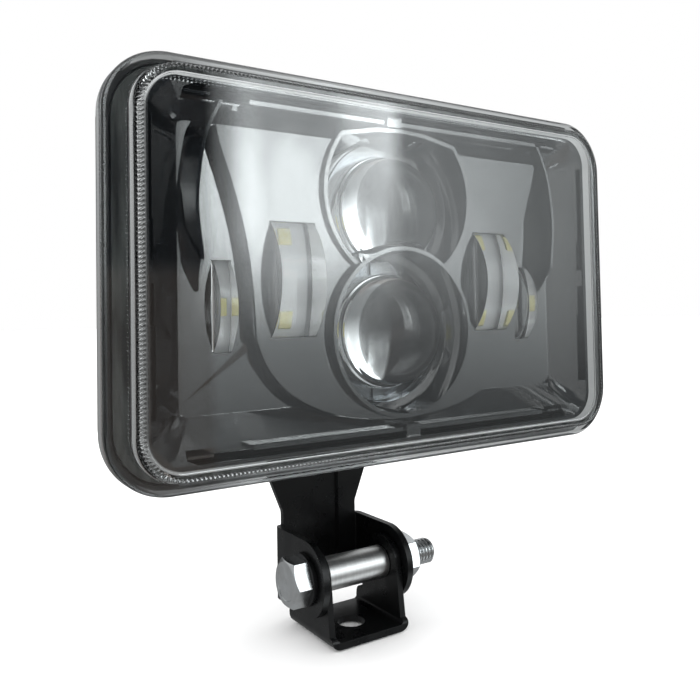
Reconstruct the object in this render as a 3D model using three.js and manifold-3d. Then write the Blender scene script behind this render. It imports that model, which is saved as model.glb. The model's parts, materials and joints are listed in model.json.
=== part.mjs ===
// Rectangular auxiliary headlamp used as a fog light: a sealed four-by-six lamp
// on a pressed-steel arm that tilts on a U-shaped foot.
// Millimetres, +Z up. The lamp faces -Y. The origin is on the foot's fixing hole,
// at the underside of the foot.
import * as THREE from "three";
import { mergeVertices } from "three/addons/utils/BufferGeometryUtils.js";
import Module from "manifold-3d";

const wasm = await Module();
wasm.setup();

// ---------------------------------------------------------------- dimensions

// Placement of the lamp in the frame of the part.
const LAMP_FRONT_Y = -31.8;      // front of the cover's flange
const LAMP_CENTRE_Z = 106.8;
const PIVOT_Z = 18;

// Cover.
const COVER_HALF_X = 82.5;
const COVER_HALF_Z = 51;
const COVER_CORNER = 15.5;
const FLANGE_DEPTH = 4.9;
const COVER_RISE = 4.6;          // raised front face ahead of the flange
const COVER_WALL = 2.3;
const POCKET_HALF_X = 74.1;
const POCKET_HALF_Z = 45.9;
const POCKET_CORNER = 9.2;

// Seal between the cover and the housing.
const SEAL_HALF_X = 79.5;
const SEAL_HALF_Z = 48.1;
const SEAL_CORNER = 12.6;
const SEAL_INNER_X = 75.6;
const SEAL_INNER_Z = 46.6;
const SEAL_INNER_CORNER = 10.6;
const SEAT_GAP = 0.1;            // between faces that rest on each other

// Bezel.
const BEZEL_GAP = 0.5;
const BEZEL_RIM_Y = 0.8;
const BEZEL_SKIN = 1.8;
const FLOOR_Y = 8.3;
const FLOOR_HALF_X = 63;
const FLOOR_HALF_Z = 35.8;
const FLOOR_SHIFT_Z = 1.5;
const PLATFORM_Y = 4;
const FIN_FRONT_Y = 2;

// Projectors.
const UPPER_Z = 18.5;
const LOWER_Z = -15.5;
const LENS_RADIUS = 15.1;
const LENS_FLANGE_RADIUS = 20.3;
const LENS_FLANGE_Y = 16;
const LENS_FLANGE_THICK = 2;
const LENS_APEX_Y = -1.5;
const COLLAR_RIM_Y = 1.6;
const LOWER_COLLAR_RADIUS = 23.6;
const UPPER_COLLAR_RADIUS = 25.2;
const UPPER_COLLAR_Z = 22.5;
const UPPER_COLLAR_TOP_Z = 41;
const COLLAR_LIP = 1.1;
const POCKET_END_RADIUS = 20.8;
const POCKET_END_Y = 18.4;

// Side optics: slices of a thick cylinder lens.
const INNER_OPTIC = { x: 33.85, width: 12.8, z: -1.3, height: 29, apexY: -2, seatY: PLATFORM_Y };
const OUTER_OPTIC = { x: 51.65, width: 4.7, z: -7.9, height: 22.4, apexY: 3.5, seatY: FLOOR_Y };
const OPTIC_CLEARANCE = 0.3;
const OPTIC_BACK_Y = 10.6;

// Light sources.
const SIDE_BOARD_Y = 12.6;
const BOARD_THICK = 1.5;
const CHIP_THICK = 0.6;
const SIDE_BOARD = { inner: 27.6, outer: 55, bottom: -19.5, top: 14 };
const SIDE_CHIP_HALF = 1.75;
const SIDE_CHIPS = [
  { place: "top", optic: INNER_OPTIC, z: 7.4 },
  { place: "bottom", optic: INNER_OPTIC, z: -9 },
  { place: "outer", optic: OUTER_OPTIC, z: -8 },
];
const PROJECTOR_BOARD = { halfX: 11, halfZ: 8 };
const PROJECTOR_CHIP = { halfX: 3, halfZ: 1.6, thick: 1 };
const PLATE_Y = 32;
const PLATE_THICK = 3;
const PLATE = { halfX: 58, bottom: -34, top: 36 };
const POST = { inner: 34, outer: 54, bottom: -17, top: 10 };
const DRIVER_BOARD = { halfX: 34, bottom: -14, top: 26, standOff: 1.2, thick: 1.6 };

// Housing.
const HOUSING_FRONT_Y = 6.2;
const HOUSING_BACK_Y = 43.5;
const HOUSING_WALL = 2.6;
const FIN_BACK_Y = 49.2;
const FIN_THICK = 1.8;
const FIN_PITCH = 7.2;
const FIN_COUNT = 17;
const PAD_BACK_Y = 49.3;
const PAD = { halfX: 24, halfZ: 18, corner: 3, z: -16 };
const GLAND = {
  z: 20, bore: 6.1, stem: 5.9, cable: 3.2, collar: 9.2, collarLength: 2.6, tip: 5.6, length: 9.4,
};
const GLAND_BOSS = { foot: 11, top: 10.4, clearance: 11.6 };
const VENT = { x: 36, z: 18, radius: 5, stem: 3.2, cap: 6.2, capHeight: 2.4, bossHeight: 3 };
const ARM_SCREWS = [[-15, -7], [15, -7], [-15, -27], [15, -27]];
const ARM_SCREW_RADIUS = 2.4;
const ARM_SCREW_HEAD = { radius: 4.6, edge: 1.8, shoulder: 2.9, height: 3.2, socket: 4 };
const ARM_SCREW_DEPTH = 4.6;
const ARM_WASHER = { bore: 2.6, radius: 5.6, thick: 1 };

// Arm and foot, pressed from the same sheet.
const SHEET = 2;
const SLIDE_GAP = 0.15;
const SPACER_HALF = 11.6;
const FOOT_FRONT_Y = -11.5;
const FOOT_BACK_Y = 14.7;
const FOOT_EAR_RADIUS = 8.2;
const FOOT_HOLE_RADIUS = 4.25;
const ARM_EAR_RADIUS = 11.2;
const ARM_PLATE_Y = 49.5;        // front of the arm's plate, behind the flange
const NECK_HALF = 13.6;
const ARM_TOP_HALF = 23;
const RIB = { halfX: 7.2, halfZ: 32.7, corner: 4, z: 48.3, depth: 1.2 };

// Fasteners.
const BOLT_RADIUS = 4;
const BORE_RADIUS = 4.06;
const HEAD_FLATS = 13;
const HEAD_HEIGHT = 5.3;
const NUT_HEIGHT = 6.4;
const WASHER_THICK = 1.3;
const BOLT_END_X = 30.8;
const THREAD_START_X = 16.2;
const THREAD_PITCH = 1.25;
const THREAD_DEPTH = 0.55;

const ROUND = 48;

// ------------------------------------------------------------------ solids

function faceOutward(geometry) {
  const position = geometry.getAttribute("position");
  const index = geometry.getIndex().array;
  const a = new THREE.Vector3();
  const b = new THREE.Vector3();
  const c = new THREE.Vector3();
  let volume = 0;
  for (let i = 0; i < index.length; i += 3) {
    a.fromBufferAttribute(position, index[i]);
    b.fromBufferAttribute(position, index[i + 1]);
    c.fromBufferAttribute(position, index[i + 2]);
    volume += a.dot(b.cross(c));
  }
  if (volume < 0) {
    for (let i = 0; i < index.length; i += 3) {
      const swap = index[i];
      index[i] = index[i + 1];
      index[i + 1] = swap;
    }
  }
  return geometry;
}

// Lathed profiles that reach the axis leave triangles with no area there.
function dropCollapsed(geometry) {
  const index = geometry.getIndex().array;
  const kept = [];
  for (let i = 0; i < index.length; i += 3) {
    const [a, b, c] = [index[i], index[i + 1], index[i + 2]];
    if (a !== b && b !== c && c !== a) {
      kept.push(a, b, c);
    }
  }
  geometry.setIndex(kept);
  return geometry;
}

function clean(geometry) {
  geometry.deleteAttribute("normal");
  geometry.deleteAttribute("uv");
  return faceOutward(dropCollapsed(mergeVertices(geometry, 1e-4)));
}

function toManifold(geometry) {
  const tidy = clean(geometry);
  return new wasm.Manifold(new wasm.Mesh({
    numProp: 3,
    vertProperties: Float32Array.from(tidy.getAttribute("position").array),
    triVerts: Uint32Array.from(tidy.getIndex().array),
  }));
}

function fromManifold(manifold) {
  const mesh = manifold.getMesh();
  const geometry = new THREE.BufferGeometry();
  geometry.setAttribute("position", new THREE.BufferAttribute(mesh.vertProperties, 3));
  geometry.setIndex(new THREE.BufferAttribute(mesh.triVerts, 1));
  return geometry;
}

function combine(base, additions, cuts) {
  let result = toManifold(base);
  for (const piece of additions) {
    result = result.add(toManifold(piece));
  }
  for (const piece of cuts) {
    result = result.subtract(toManifold(piece));
  }
  return fromManifold(result);
}

function block(x0, x1, y0, y1, z0, z1) {
  const geometry = new THREE.BoxGeometry(x1 - x0, y1 - y0, z1 - z0);
  return geometry.translate((x0 + x1) / 2, (y0 + y1) / 2, (z0 + z1) / 2);
}

function shapeOf(points) {
  return new THREE.Shape(points.map(([u, v]) => new THREE.Vector2(u, v)));
}

function extrude(points, depth) {
  return new THREE.ExtrudeGeometry(shapeOf(points), { depth, bevelEnabled: false });
}

// Outline in X and Z, thickness along Y.
function prismY(points, y0, y1) {
  return extrude(points, y1 - y0).rotateX(Math.PI / 2).translate(0, y1, 0);
}

// Outline in Y and Z, thickness along X.
function prismX(points, x0, x1) {
  const turn = new THREE.Matrix4().makeBasis(
    new THREE.Vector3(0, 1, 0),
    new THREE.Vector3(0, 0, 1),
    new THREE.Vector3(1, 0, 0),
  );
  return extrude(points, x1 - x0).applyMatrix4(turn).translate(x0, 0, 0);
}

// Turned body on an axis along Y. The profile holds [radius, y].
function turnedY(profile, x, z, segments = ROUND) {
  const points = profile.map(([radius, y]) => new THREE.Vector2(radius, y));
  return new THREE.LatheGeometry(points, segments).translate(x, 0, z);
}

// Turned body on an axis along X. The profile holds [radius, x].
function turnedX(profile, y, z, segments = ROUND) {
  const points = profile.map(([radius, x]) => new THREE.Vector2(radius, x));
  return new THREE.LatheGeometry(points, segments).rotateZ(-Math.PI / 2).translate(0, y, z);
}

function arc(centreU, centreV, radius, from, to, steps) {
  const points = [];
  for (let i = 0; i <= steps; i += 1) {
    const angle = THREE.MathUtils.degToRad(from + ((to - from) * i) / steps);
    points.push([centreU + radius * Math.cos(angle), centreV + radius * Math.sin(angle)]);
  }
  return points;
}

function roundedRectangle(halfX, halfZ, radius, shiftZ = 0, steps = 8) {
  const x = halfX - radius;
  const z = halfZ - radius;
  return [
    ...arc(x, z + shiftZ, radius, 0, 90, steps),
    ...arc(-x, z + shiftZ, radius, 90, 180, steps),
    ...arc(-x, -z + shiftZ, radius, 180, 270, steps),
    ...arc(x, -z + shiftZ, radius, 270, 360, steps),
  ];
}

// Skin through outlines of equal length. Each section is { y, points }.
// An open skin is capped at both ends; a closed one joins last to first.
function skin(sections, closed) {
  const count = sections[0].points.length;
  const positions = [];
  const index = [];
  for (const { y, points } of sections) {
    for (const [x, z] of points) {
      positions.push(x, y, z);
    }
  }
  const last = closed ? sections.length : sections.length - 1;
  for (let s = 0; s < last; s += 1) {
    const next = (s + 1) % sections.length;
    for (let i = 0; i < count; i += 1) {
      const j = (i + 1) % count;
      index.push(s * count + i, s * count + j, next * count + j);
      index.push(s * count + i, next * count + j, next * count + i);
    }
  }
  if (!closed) {
    capSection(sections, 0, false, index);
    capSection(sections, sections.length - 1, true, index);
  }
  const geometry = new THREE.BufferGeometry();
  geometry.setAttribute("position", new THREE.Float32BufferAttribute(positions, 3));
  geometry.setIndex(index);
  return geometry;
}

function capSection(sections, s, reverse, index) {
  const outline = sections[s].points.map(([x, z]) => new THREE.Vector2(x, z));
  const offset = s * outline.length;
  const clockwise = THREE.ShapeUtils.isClockWise(outline);
  for (const [a, b, c] of THREE.ShapeUtils.triangulateShape(outline, [])) {
    const flipped = THREE.ShapeUtils.isClockWise([outline[a], outline[b], outline[c]]);
    if ((flipped === clockwise) === reverse) {
      index.push(offset + a, offset + b, offset + c);
    } else {
      index.push(offset + c, offset + b, offset + a);
    }
  }
}

function rectangleSkin(rows, closed) {
  const sections = rows.map(([halfX, halfZ, radius, y, shiftZ = 0]) => ({
    y,
    points: roundedRectangle(halfX, halfZ, radius, shiftZ),
  }));
  return skin(sections, closed);
}

// ------------------------------------------------------------------- lamp

function frontLens() {
  return rectangleSkin([
    [74.4, 46.1, 9.5, -COVER_RISE],
    [75.3, 46.9, 10.2, -COVER_RISE + 0.3],
    [75.7, 47.3, 10.5, -COVER_RISE + 1],
    [76.2, 47.6, 10.8, -0.6],
    [76.9, 48.1, 11.3, 0],
    [COVER_HALF_X - 1, COVER_HALF_Z - 1, COVER_CORNER - 1, 0],
    [COVER_HALF_X - 0.2, COVER_HALF_Z - 0.2, COVER_CORNER - 0.2, 0.4],
    [COVER_HALF_X, COVER_HALF_Z, COVER_CORNER, 1.1],
    [COVER_HALF_X, COVER_HALF_Z, COVER_CORNER, FLANGE_DEPTH],
    [POCKET_HALF_X, POCKET_HALF_Z, POCKET_CORNER, FLANGE_DEPTH],
    [POCKET_HALF_X, POCKET_HALF_Z, POCKET_CORNER, COVER_WALL - COVER_RISE + 1.1],
    [POCKET_HALF_X - 1.1, POCKET_HALF_Z - 1.1, POCKET_CORNER - 1.1, COVER_WALL - COVER_RISE],
  ], false);
}

function lensGasket() {
  const frontY = FLANGE_DEPTH + SEAT_GAP;
  const backY = HOUSING_FRONT_Y - SEAT_GAP;
  return rectangleSkin([
    [SEAL_HALF_X, SEAL_HALF_Z, SEAL_CORNER, frontY],
    [SEAL_HALF_X, SEAL_HALF_Z, SEAL_CORNER, backY],
    [SEAL_INNER_X, SEAL_INNER_Z, SEAL_INNER_CORNER, backY],
    [SEAL_INNER_X, SEAL_INNER_Z, SEAL_INNER_CORNER, frontY],
  ], true);
}

function platformHalf(spread) {
  return [
    [54.4 + spread, 36],
    [53.6 + spread, 32],
    [49.6 + spread, 20],
    [46.6 + spread, 8],
    [45 + spread, -4],
    [44.4 + spread, -16],
    [41.6 + spread * 1.4, -23 - spread * 0.4],
    [36.6 + spread * 1.6, -29 - spread * 0.9],
    [29.6 + spread * 1.5, -33.6 - spread * 1.2],
    [20.5 + spread, -37 - spread * 1.5],
    [10.3 + spread * 0.4, -38.8 - spread * 1.7],
  ];
}

function platformOutline(spread) {
  const right = platformHalf(spread);
  const left = right.map(([x, z]) => [-x, z]).reverse();
  return [...right, [0, -39.4 - spread * 1.8], ...left];
}

function platform() {
  return skin([
    { y: PLATFORM_Y, points: platformOutline(0) },
    { y: FLOOR_Y + 0.4, points: platformOutline(1.1) },
    { y: FLOOR_Y + BEZEL_SKIN, points: platformOutline(1.1) },
  ], false);
}

function bezelTray() {
  const rimX = POCKET_HALF_X - BEZEL_GAP;
  const rimZ = POCKET_HALF_Z - BEZEL_GAP;
  const corner = POCKET_CORNER - BEZEL_GAP;
  return rectangleSkin([
    [FLOOR_HALF_X, FLOOR_HALF_Z, 2.5, FLOOR_Y, FLOOR_SHIFT_Z],
    [rimX - 1.4, rimZ - 1.2, corner - 1.2, BEZEL_RIM_Y],
    [rimX, rimZ, corner, BEZEL_RIM_Y],
    [rimX, rimZ, corner, BEZEL_RIM_Y + BEZEL_SKIN],
    [FLOOR_HALF_X + 1.6, FLOOR_HALF_Z + 1.6, 4, FLOOR_Y + BEZEL_SKIN, FLOOR_SHIFT_Z],
  ], false);
}

// Flat-topped circle of the upper projector's collar.
function upperCollarOutline(radius, centreZ, topZ) {
  const shoulder = topZ - 2.6 - centreZ;
  const edge = THREE.MathUtils.radToDeg(Math.asin(Math.min(shoulder / radius, 0.98)));
  const sides = arc(0, centreZ, radius, 180 - edge, 360 + edge, 40);
  return [...sides, [radius * 0.33, topZ - 0.4], [0, topZ], [-radius * 0.33, topZ - 0.4]];
}

function upperPocket(grow, startY) {
  return skin([
    {
      y: startY,
      points: upperCollarOutline(UPPER_COLLAR_RADIUS - COLLAR_LIP + grow, UPPER_COLLAR_Z,
        UPPER_COLLAR_TOP_Z - COLLAR_LIP + grow),
    },
    {
      y: POCKET_END_Y,
      points: upperCollarOutline(POCKET_END_RADIUS + grow, UPPER_Z,
        UPPER_Z + POCKET_END_RADIUS + grow),
    },
  ], false);
}

function lowerPocket(grow, startY) {
  const start = LOWER_COLLAR_RADIUS - COLLAR_LIP + grow;
  return turnedY([
    [0, startY],
    [start, startY],
    [POCKET_END_RADIUS + grow, POCKET_END_Y],
    [0, POCKET_END_Y],
  ], 0, LOWER_Z);
}

function opticWindow(optic, side) {
  const halfX = optic.width / 2 + OPTIC_CLEARANCE;
  const halfZ = optic.height / 2 + OPTIC_CLEARANCE;
  const x = side * optic.x;
  return block(x - halfX, x + halfX, COLLAR_RIM_Y - 1, POCKET_END_Y,
    optic.z - halfZ, optic.z + halfZ);
}

// Crescent blade that stands on the side wall of the bezel.
function blade(side) {
  const outer = [];
  const inner = [];
  for (let i = 0; i <= 12; i += 1) {
    const t = i / 12;
    const z = 40.5 - 44.5 * t;
    const bulge = Math.sin(Math.PI * t);
    outer.push([side * (56 + 2.4 * t + 3.4 * bulge), z]);
    inner.unshift([side * (55.4 + 2.4 * t + 1.3 * bulge), z]);
  }
  return prismY([...outer, ...inner], FIN_FRONT_Y, FLOOR_Y + 0.6);
}

function bottomRidge() {
  return block(-43, 54, 4.2, 7.2, -42.2, -40.6);
}

function bottomTab() {
  return block(-4.5, 0.5, 3, 6.6, -44.2, -41.6);
}

function bezel() {
  const upperRim = prismY(
    upperCollarOutline(UPPER_COLLAR_RADIUS, UPPER_COLLAR_Z, UPPER_COLLAR_TOP_Z),
    COLLAR_RIM_Y + 1, FLOOR_Y + 1);
  const lowerRim = turnedY([
    [0, COLLAR_RIM_Y],
    [LOWER_COLLAR_RADIUS, COLLAR_RIM_Y],
    [LOWER_COLLAR_RADIUS + 0.8, FLOOR_Y + 1],
    [0, FLOOR_Y + 1],
  ], 0, LOWER_Z);
  const withUpper = combine(bezelTray(), [
    platform(),
    blade(1),
    blade(-1),
    bottomRidge(),
    bottomTab(),
    upperRim,
    upperPocket(COLLAR_LIP, FLOOR_Y + 0.5),
  ], [upperPocket(0, COLLAR_RIM_Y + 0.9)]);
  return combine(withUpper, [lowerRim, lowerPocket(COLLAR_LIP, FLOOR_Y + 0.5)], [
    lowerPocket(0, COLLAR_RIM_Y - 0.1),
    opticWindow(INNER_OPTIC, 1),
    opticWindow(INNER_OPTIC, -1),
    opticWindow(OUTER_OPTIC, 1),
    opticWindow(OUTER_OPTIC, -1),
  ]);
}

// Deep dome on a cylindrical neck, with a flange at the back.
function projectorLens(z) {
  const shoulderY = 8;
  const profile = [[0, LENS_APEX_Y]];
  for (let i = 1; i <= 12; i += 1) {
    const angle = (Math.PI / 2) * (i / 12);
    const y = shoulderY - (shoulderY - LENS_APEX_Y) * Math.cos(angle);
    profile.push([LENS_RADIUS * Math.sin(angle), y]);
  }
  profile.push([LENS_RADIUS, LENS_FLANGE_Y]);
  profile.push([LENS_FLANGE_RADIUS, LENS_FLANGE_Y]);
  profile.push([LENS_FLANGE_RADIUS, LENS_FLANGE_Y + LENS_FLANGE_THICK]);
  profile.push([0, LENS_FLANGE_Y + LENS_FLANGE_THICK]);
  return turnedY(profile, 0, z);
}

function lowerClearance() {
  const radius = LOWER_COLLAR_RADIUS + 1.2;
  return turnedY([
    [0, LENS_APEX_Y - 1],
    [radius, LENS_APEX_Y - 1],
    [radius, PLATE_Y],
    [0, PLATE_Y],
  ], 0, LOWER_Z);
}

function lowerProjectorLens() {
  const slots = [0, 90, 180, 270].flatMap((turn) => [-5.2, 5.2].map((offset) => {
    const slot = block(offset - 0.4, offset + 0.4, LENS_FLANGE_Y - 0.5, LENS_FLANGE_Y + 0.8,
      LENS_RADIUS + 1, LENS_FLANGE_RADIUS + 1);
    return slot.rotateY(THREE.MathUtils.degToRad(turn)).translate(0, 0, LOWER_Z);
  }));
  return combine(projectorLens(LOWER_Z), [], slots);
}

function upperProjectorLens() {
  return combine(projectorLens(UPPER_Z), [], [lowerClearance()]);
}

// Reflector cup between a projector lens and its light source.
function reflectorCup(z) {
  const frontY = LENS_FLANGE_Y + LENS_FLANGE_THICK + 0.6;
  const backY = PLATE_Y - 2.4;
  return turnedY([
    [20.4, frontY],
    [9, backY],
    [7.6, backY],
    [18.6, frontY],
    [20.4, frontY],
  ], 0, z);
}

function upperReflector() {
  return combine(reflectorCup(UPPER_Z), [], [lowerClearance()]);
}

function sideOptic(optic, side) {
  const halfChord = optic.height / 2;
  const sagitta = optic.seatY - optic.apexY;
  const radius = (halfChord * halfChord + sagitta * sagitta) / (2 * sagitta);
  const half = THREE.MathUtils.radToDeg(Math.asin(halfChord / radius));
  const front = arc(optic.apexY + radius, optic.z, radius, 180 + half, 180 - half, 24);
  const outline = [
    ...front,
    [OPTIC_BACK_Y, optic.z + halfChord],
    [OPTIC_BACK_Y, optic.z - halfChord],
  ];
  const x = side * optic.x;
  return prismX(outline, x - optic.width / 2, x + optic.width / 2);
}

// Block that spans the same distances on either side of the middle.
function sideBlock(side, inner, outer, y0, y1, z0, z1) {
  const x0 = side > 0 ? inner : -outer;
  return block(x0, x0 + outer - inner, y0, y1, z0, z1);
}

function sideBoard(side) {
  return sideBlock(side, SIDE_BOARD.inner, SIDE_BOARD.outer, SIDE_BOARD_Y,
    SIDE_BOARD_Y + BOARD_THICK, SIDE_BOARD.bottom, SIDE_BOARD.top);
}

function sideChip(side, { optic, z }) {
  const x = side * optic.x;
  const half = SIDE_CHIP_HALF;
  const backY = SIDE_BOARD_Y - SEAT_GAP / 2;
  return block(x - half, x + half, backY - CHIP_THICK, backY, z - half, z + half);
}

function projectorBoard(z) {
  const backY = PLATE_Y - SEAT_GAP;
  const { halfX, halfZ } = PROJECTOR_BOARD;
  return block(-halfX, halfX, backY - BOARD_THICK, backY, z - halfZ, z + halfZ);
}

function projectorChip(z) {
  const backY = PLATE_Y - BOARD_THICK - 1.5 * SEAT_GAP;
  const { halfX, halfZ, thick } = PROJECTOR_CHIP;
  return block(-halfX, halfX, backY - thick, backY, z - halfZ, z + halfZ);
}

function heatPlate() {
  const frontY = SIDE_BOARD_Y + BOARD_THICK + SEAT_GAP;
  const posts = [1, -1].map((side) => sideBlock(side, POST.inner, POST.outer, frontY,
    PLATE_Y + 1, POST.bottom, POST.top));
  const plate = block(-PLATE.halfX, PLATE.halfX, PLATE_Y, PLATE_Y + PLATE_THICK,
    PLATE.bottom, PLATE.top);
  return combine(plate, posts, []);
}

function driverBoard() {
  const { halfX, bottom, top, standOff, thick } = DRIVER_BOARD;
  const frontY = PLATE_Y + PLATE_THICK + standOff;
  return block(-halfX, halfX, frontY, frontY + thick, bottom, top);
}

// ---------------------------------------------------------------- housing

// A dish with a lip round the seal. The lip hides behind the cover's flange.
function housingShell() {
  const lipX = SEAL_HALF_X + 0.5;
  const lipZ = SEAL_HALF_Z + 0.5;
  const lipCorner = SEAL_CORNER + 0.4;
  return rectangleSkin([
    [75.2, 46.2, 10.2, HOUSING_FRONT_Y],
    [lipX, lipZ, lipCorner, HOUSING_FRONT_Y],
    [lipX, lipZ, lipCorner, FLANGE_DEPTH + 0.35],
    [lipX + 1, lipZ + 1, lipCorner + 1, FLANGE_DEPTH + 0.35],
    [lipX + 1.3, lipZ + 1.3, lipCorner + 1.3, FLANGE_DEPTH + 0.9],
    [lipX + 1.3, lipZ + 1.3, lipCorner + 1.3, HOUSING_FRONT_Y + 3.4],
    [lipX + 0.5, lipZ + 0.5, lipCorner + 0.5, HOUSING_FRONT_Y + 4.2],
    [77, 47.6, 12, HOUSING_FRONT_Y + 4.4],
    [75.4, 46.2, 11, HOUSING_FRONT_Y + 7],
    [73, 44, 10, 26],
    [67, 39.6, 9, 38],
    [64, 37.4, 8, HOUSING_BACK_Y - 1.6],
    [62.4, 36, 7, HOUSING_BACK_Y],
  ].reverse().concat([
    [73.4, 44.6, 9.4, HOUSING_FRONT_Y + 6],
    [70.6, 41.6, 8, 25.5],
    [64.4, 37.2, 7, 36.6],
    [61, 34.6, 6, HOUSING_BACK_Y - HOUSING_WALL],
  ]), false);
}

function coolingFins() {
  const fins = [];
  const first = -((FIN_COUNT - 1) / 2) * FIN_PITCH;
  for (let i = 0; i < FIN_COUNT; i += 1) {
    const x = first + i * FIN_PITCH;
    const outline = [
      [HOUSING_BACK_Y - 1.2, -34.5],
      [FIN_BACK_Y - 3, -35.4],
      [FIN_BACK_Y, -32.4],
      [FIN_BACK_Y, 32.4],
      [FIN_BACK_Y - 3, 35.4],
      [HOUSING_BACK_Y - 1.2, 34.5],
    ];
    fins.push(prismX(outline, x - FIN_THICK / 2, x + FIN_THICK / 2));
  }
  return fins;
}

function armPad() {
  const outline = roundedRectangle(PAD.halfX, PAD.halfZ, PAD.corner, PAD.z);
  return prismY(outline, HOUSING_BACK_Y - 1, PAD_BACK_Y);
}

function glandBoss() {
  return turnedY([
    [0, HOUSING_BACK_Y - 1],
    [GLAND_BOSS.foot, HOUSING_BACK_Y - 1],
    [GLAND_BOSS.top, PAD_BACK_Y],
    [0, PAD_BACK_Y],
  ], 0, GLAND.z);
}

function pin(radius, y0, y1, x, z, segments = 24) {
  return turnedY([[0, y0], [radius, y0], [radius, y1], [0, y1]], x, z, segments);
}

function ringY(inner, outer, y0, y1, x, z) {
  return turnedY([[inner, y0], [outer, y0], [outer, y1], [inner, y1], [inner, y0]], x, z, 32);
}

function ventBoss() {
  return pin(VENT.radius + 2, HOUSING_BACK_Y - 1, HOUSING_BACK_Y + VENT.bossHeight,
    VENT.x, VENT.z, 32);
}

function housing() {
  const clearFins = [
    pin(GLAND_BOSS.clearance, HOUSING_BACK_Y + 0.05, FIN_BACK_Y + 1, 0, GLAND.z, 40),
    pin(VENT.radius + 3, HOUSING_BACK_Y + 0.05, FIN_BACK_Y + 1, VENT.x, VENT.z, 40),
  ];
  const finned = combine(housingShell(), coolingFins(), clearFins);
  const holes = [
    pin(GLAND.bore, HOUSING_BACK_Y - 5, PAD_BACK_Y + 1, 0, GLAND.z, 32),
    pin(VENT.stem + 0.2, HOUSING_BACK_Y - 5, HOUSING_BACK_Y + 4, VENT.x, VENT.z),
    ...ARM_SCREWS.map(([x, z]) => pin(ARM_SCREW_RADIUS + 0.06, HOUSING_BACK_Y + 0.4,
      PAD_BACK_Y + 1, x, z)),
  ];
  return combine(finned, [armPad(), glandBoss(), ventBoss()], holes);
}

function cableGland() {
  const innerY = HOUSING_BACK_Y - 3.5;
  const shoulderY = PAD_BACK_Y + GLAND.collarLength;
  const endY = PAD_BACK_Y + GLAND.length;
  return turnedY([
    [GLAND.cable, innerY],
    [GLAND.stem, innerY],
    [GLAND.stem, PAD_BACK_Y + SEAT_GAP],
    [GLAND.collar, PAD_BACK_Y + SEAT_GAP],
    [GLAND.collar, shoulderY],
    [GLAND.collar - 2, shoulderY + 0.8],
    [GLAND.tip, endY],
    [GLAND.cable, endY],
    [GLAND.cable, innerY],
  ], 0, GLAND.z, 40);
}

function ventPlug() {
  const baseY = HOUSING_BACK_Y + VENT.bossHeight + SEAT_GAP;
  return turnedY([
    [0, HOUSING_BACK_Y - 2],
    [VENT.stem, HOUSING_BACK_Y - 2],
    [VENT.stem, baseY],
    [VENT.cap, baseY],
    [VENT.cap, baseY + VENT.capHeight - 0.8],
    [VENT.radius, baseY + VENT.capHeight],
    [0, baseY + VENT.capHeight],
  ], VENT.x, VENT.z, 32);
}

// ------------------------------------------------------------ arm and foot

function armOuterHalf() {
  return SPACER_HALF + 2 * SHEET + SLIDE_GAP * 2;
}

function earOutline(radius, rearY, topZ, bottomZ) {
  return [
    ...arc(0, PIVOT_Z, radius, 90, 270, 20),
    [rearY, bottomZ],
    [rearY, topZ],
  ];
}

function armPlateOutline(lampZ) {
  const outer = armOuterHalf();
  const bottom = PIVOT_Z - ARM_EAR_RADIUS;
  const shoulder = PIVOT_Z + ARM_EAR_RADIUS;
  const right = [
    [outer, bottom],
    [outer, shoulder - 1.2],
    [outer - 1, shoulder + 0.8],
    [NECK_HALF, shoulder + 2],
    [NECK_HALF, shoulder + 4.4],
    [ARM_TOP_HALF - 0.6, lampZ - 51],
    [ARM_TOP_HALF, lampZ - 48],
    [ARM_TOP_HALF, lampZ - 1],
    [ARM_TOP_HALF - 3, lampZ + 2],
  ];
  const left = right.map(([x, z]) => [-x, z]).reverse();
  return [...right, ...left];
}

function ribOutline(grow) {
  return roundedRectangle(RIB.halfX + grow, RIB.halfZ + grow, RIB.corner + grow, RIB.z, 6);
}

function ribSkin(grow, y0, y1) {
  return skin([
    { y: y0, points: ribOutline(grow) },
    { y: y1, points: ribOutline(grow - 1) },
  ], false);
}

// One pressing: plate behind the lamp, stiffening rib, two ears bent forward.
function armBracket() {
  const frontY = ARM_PLATE_Y + LAMP_FRONT_Y;
  const rearY = frontY + SHEET;
  const outer = armOuterHalf();
  const ear = earOutline(ARM_EAR_RADIUS, rearY, PIVOT_Z + ARM_EAR_RADIUS,
    PIVOT_Z - ARM_EAR_RADIUS);
  const bore = turnedX([[0, -30], [BORE_RADIUS, -30], [BORE_RADIUS, 30], [0, 30]], 0, PIVOT_Z);
  return combine(prismY(armPlateOutline(LAMP_CENTRE_Z), frontY, rearY), [
    prismX(ear, outer - SHEET, outer),
    prismX(ear, -outer, -outer + SHEET),
    ribSkin(SHEET * 0.4, rearY - 0.2, rearY + RIB.depth),
  ], [
    ribSkin(-SHEET * 0.4, frontY - 0.01, frontY + RIB.depth),
    bore,
    ...ARM_SCREWS.map(([x, z]) => pin(ARM_SCREW_RADIUS + 0.3, frontY - 1, rearY + 4,
      x, z + LAMP_CENTRE_Z)),
  ]);
}

function footEar() {
  return [
    ...arc(0, PIVOT_Z, FOOT_EAR_RADIUS, 20, 160, 18),
    [FOOT_FRONT_Y, 3.2],
    [FOOT_FRONT_Y, 0],
    [FOOT_BACK_Y, 0],
    [FOOT_BACK_Y, 7],
  ];
}

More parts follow.
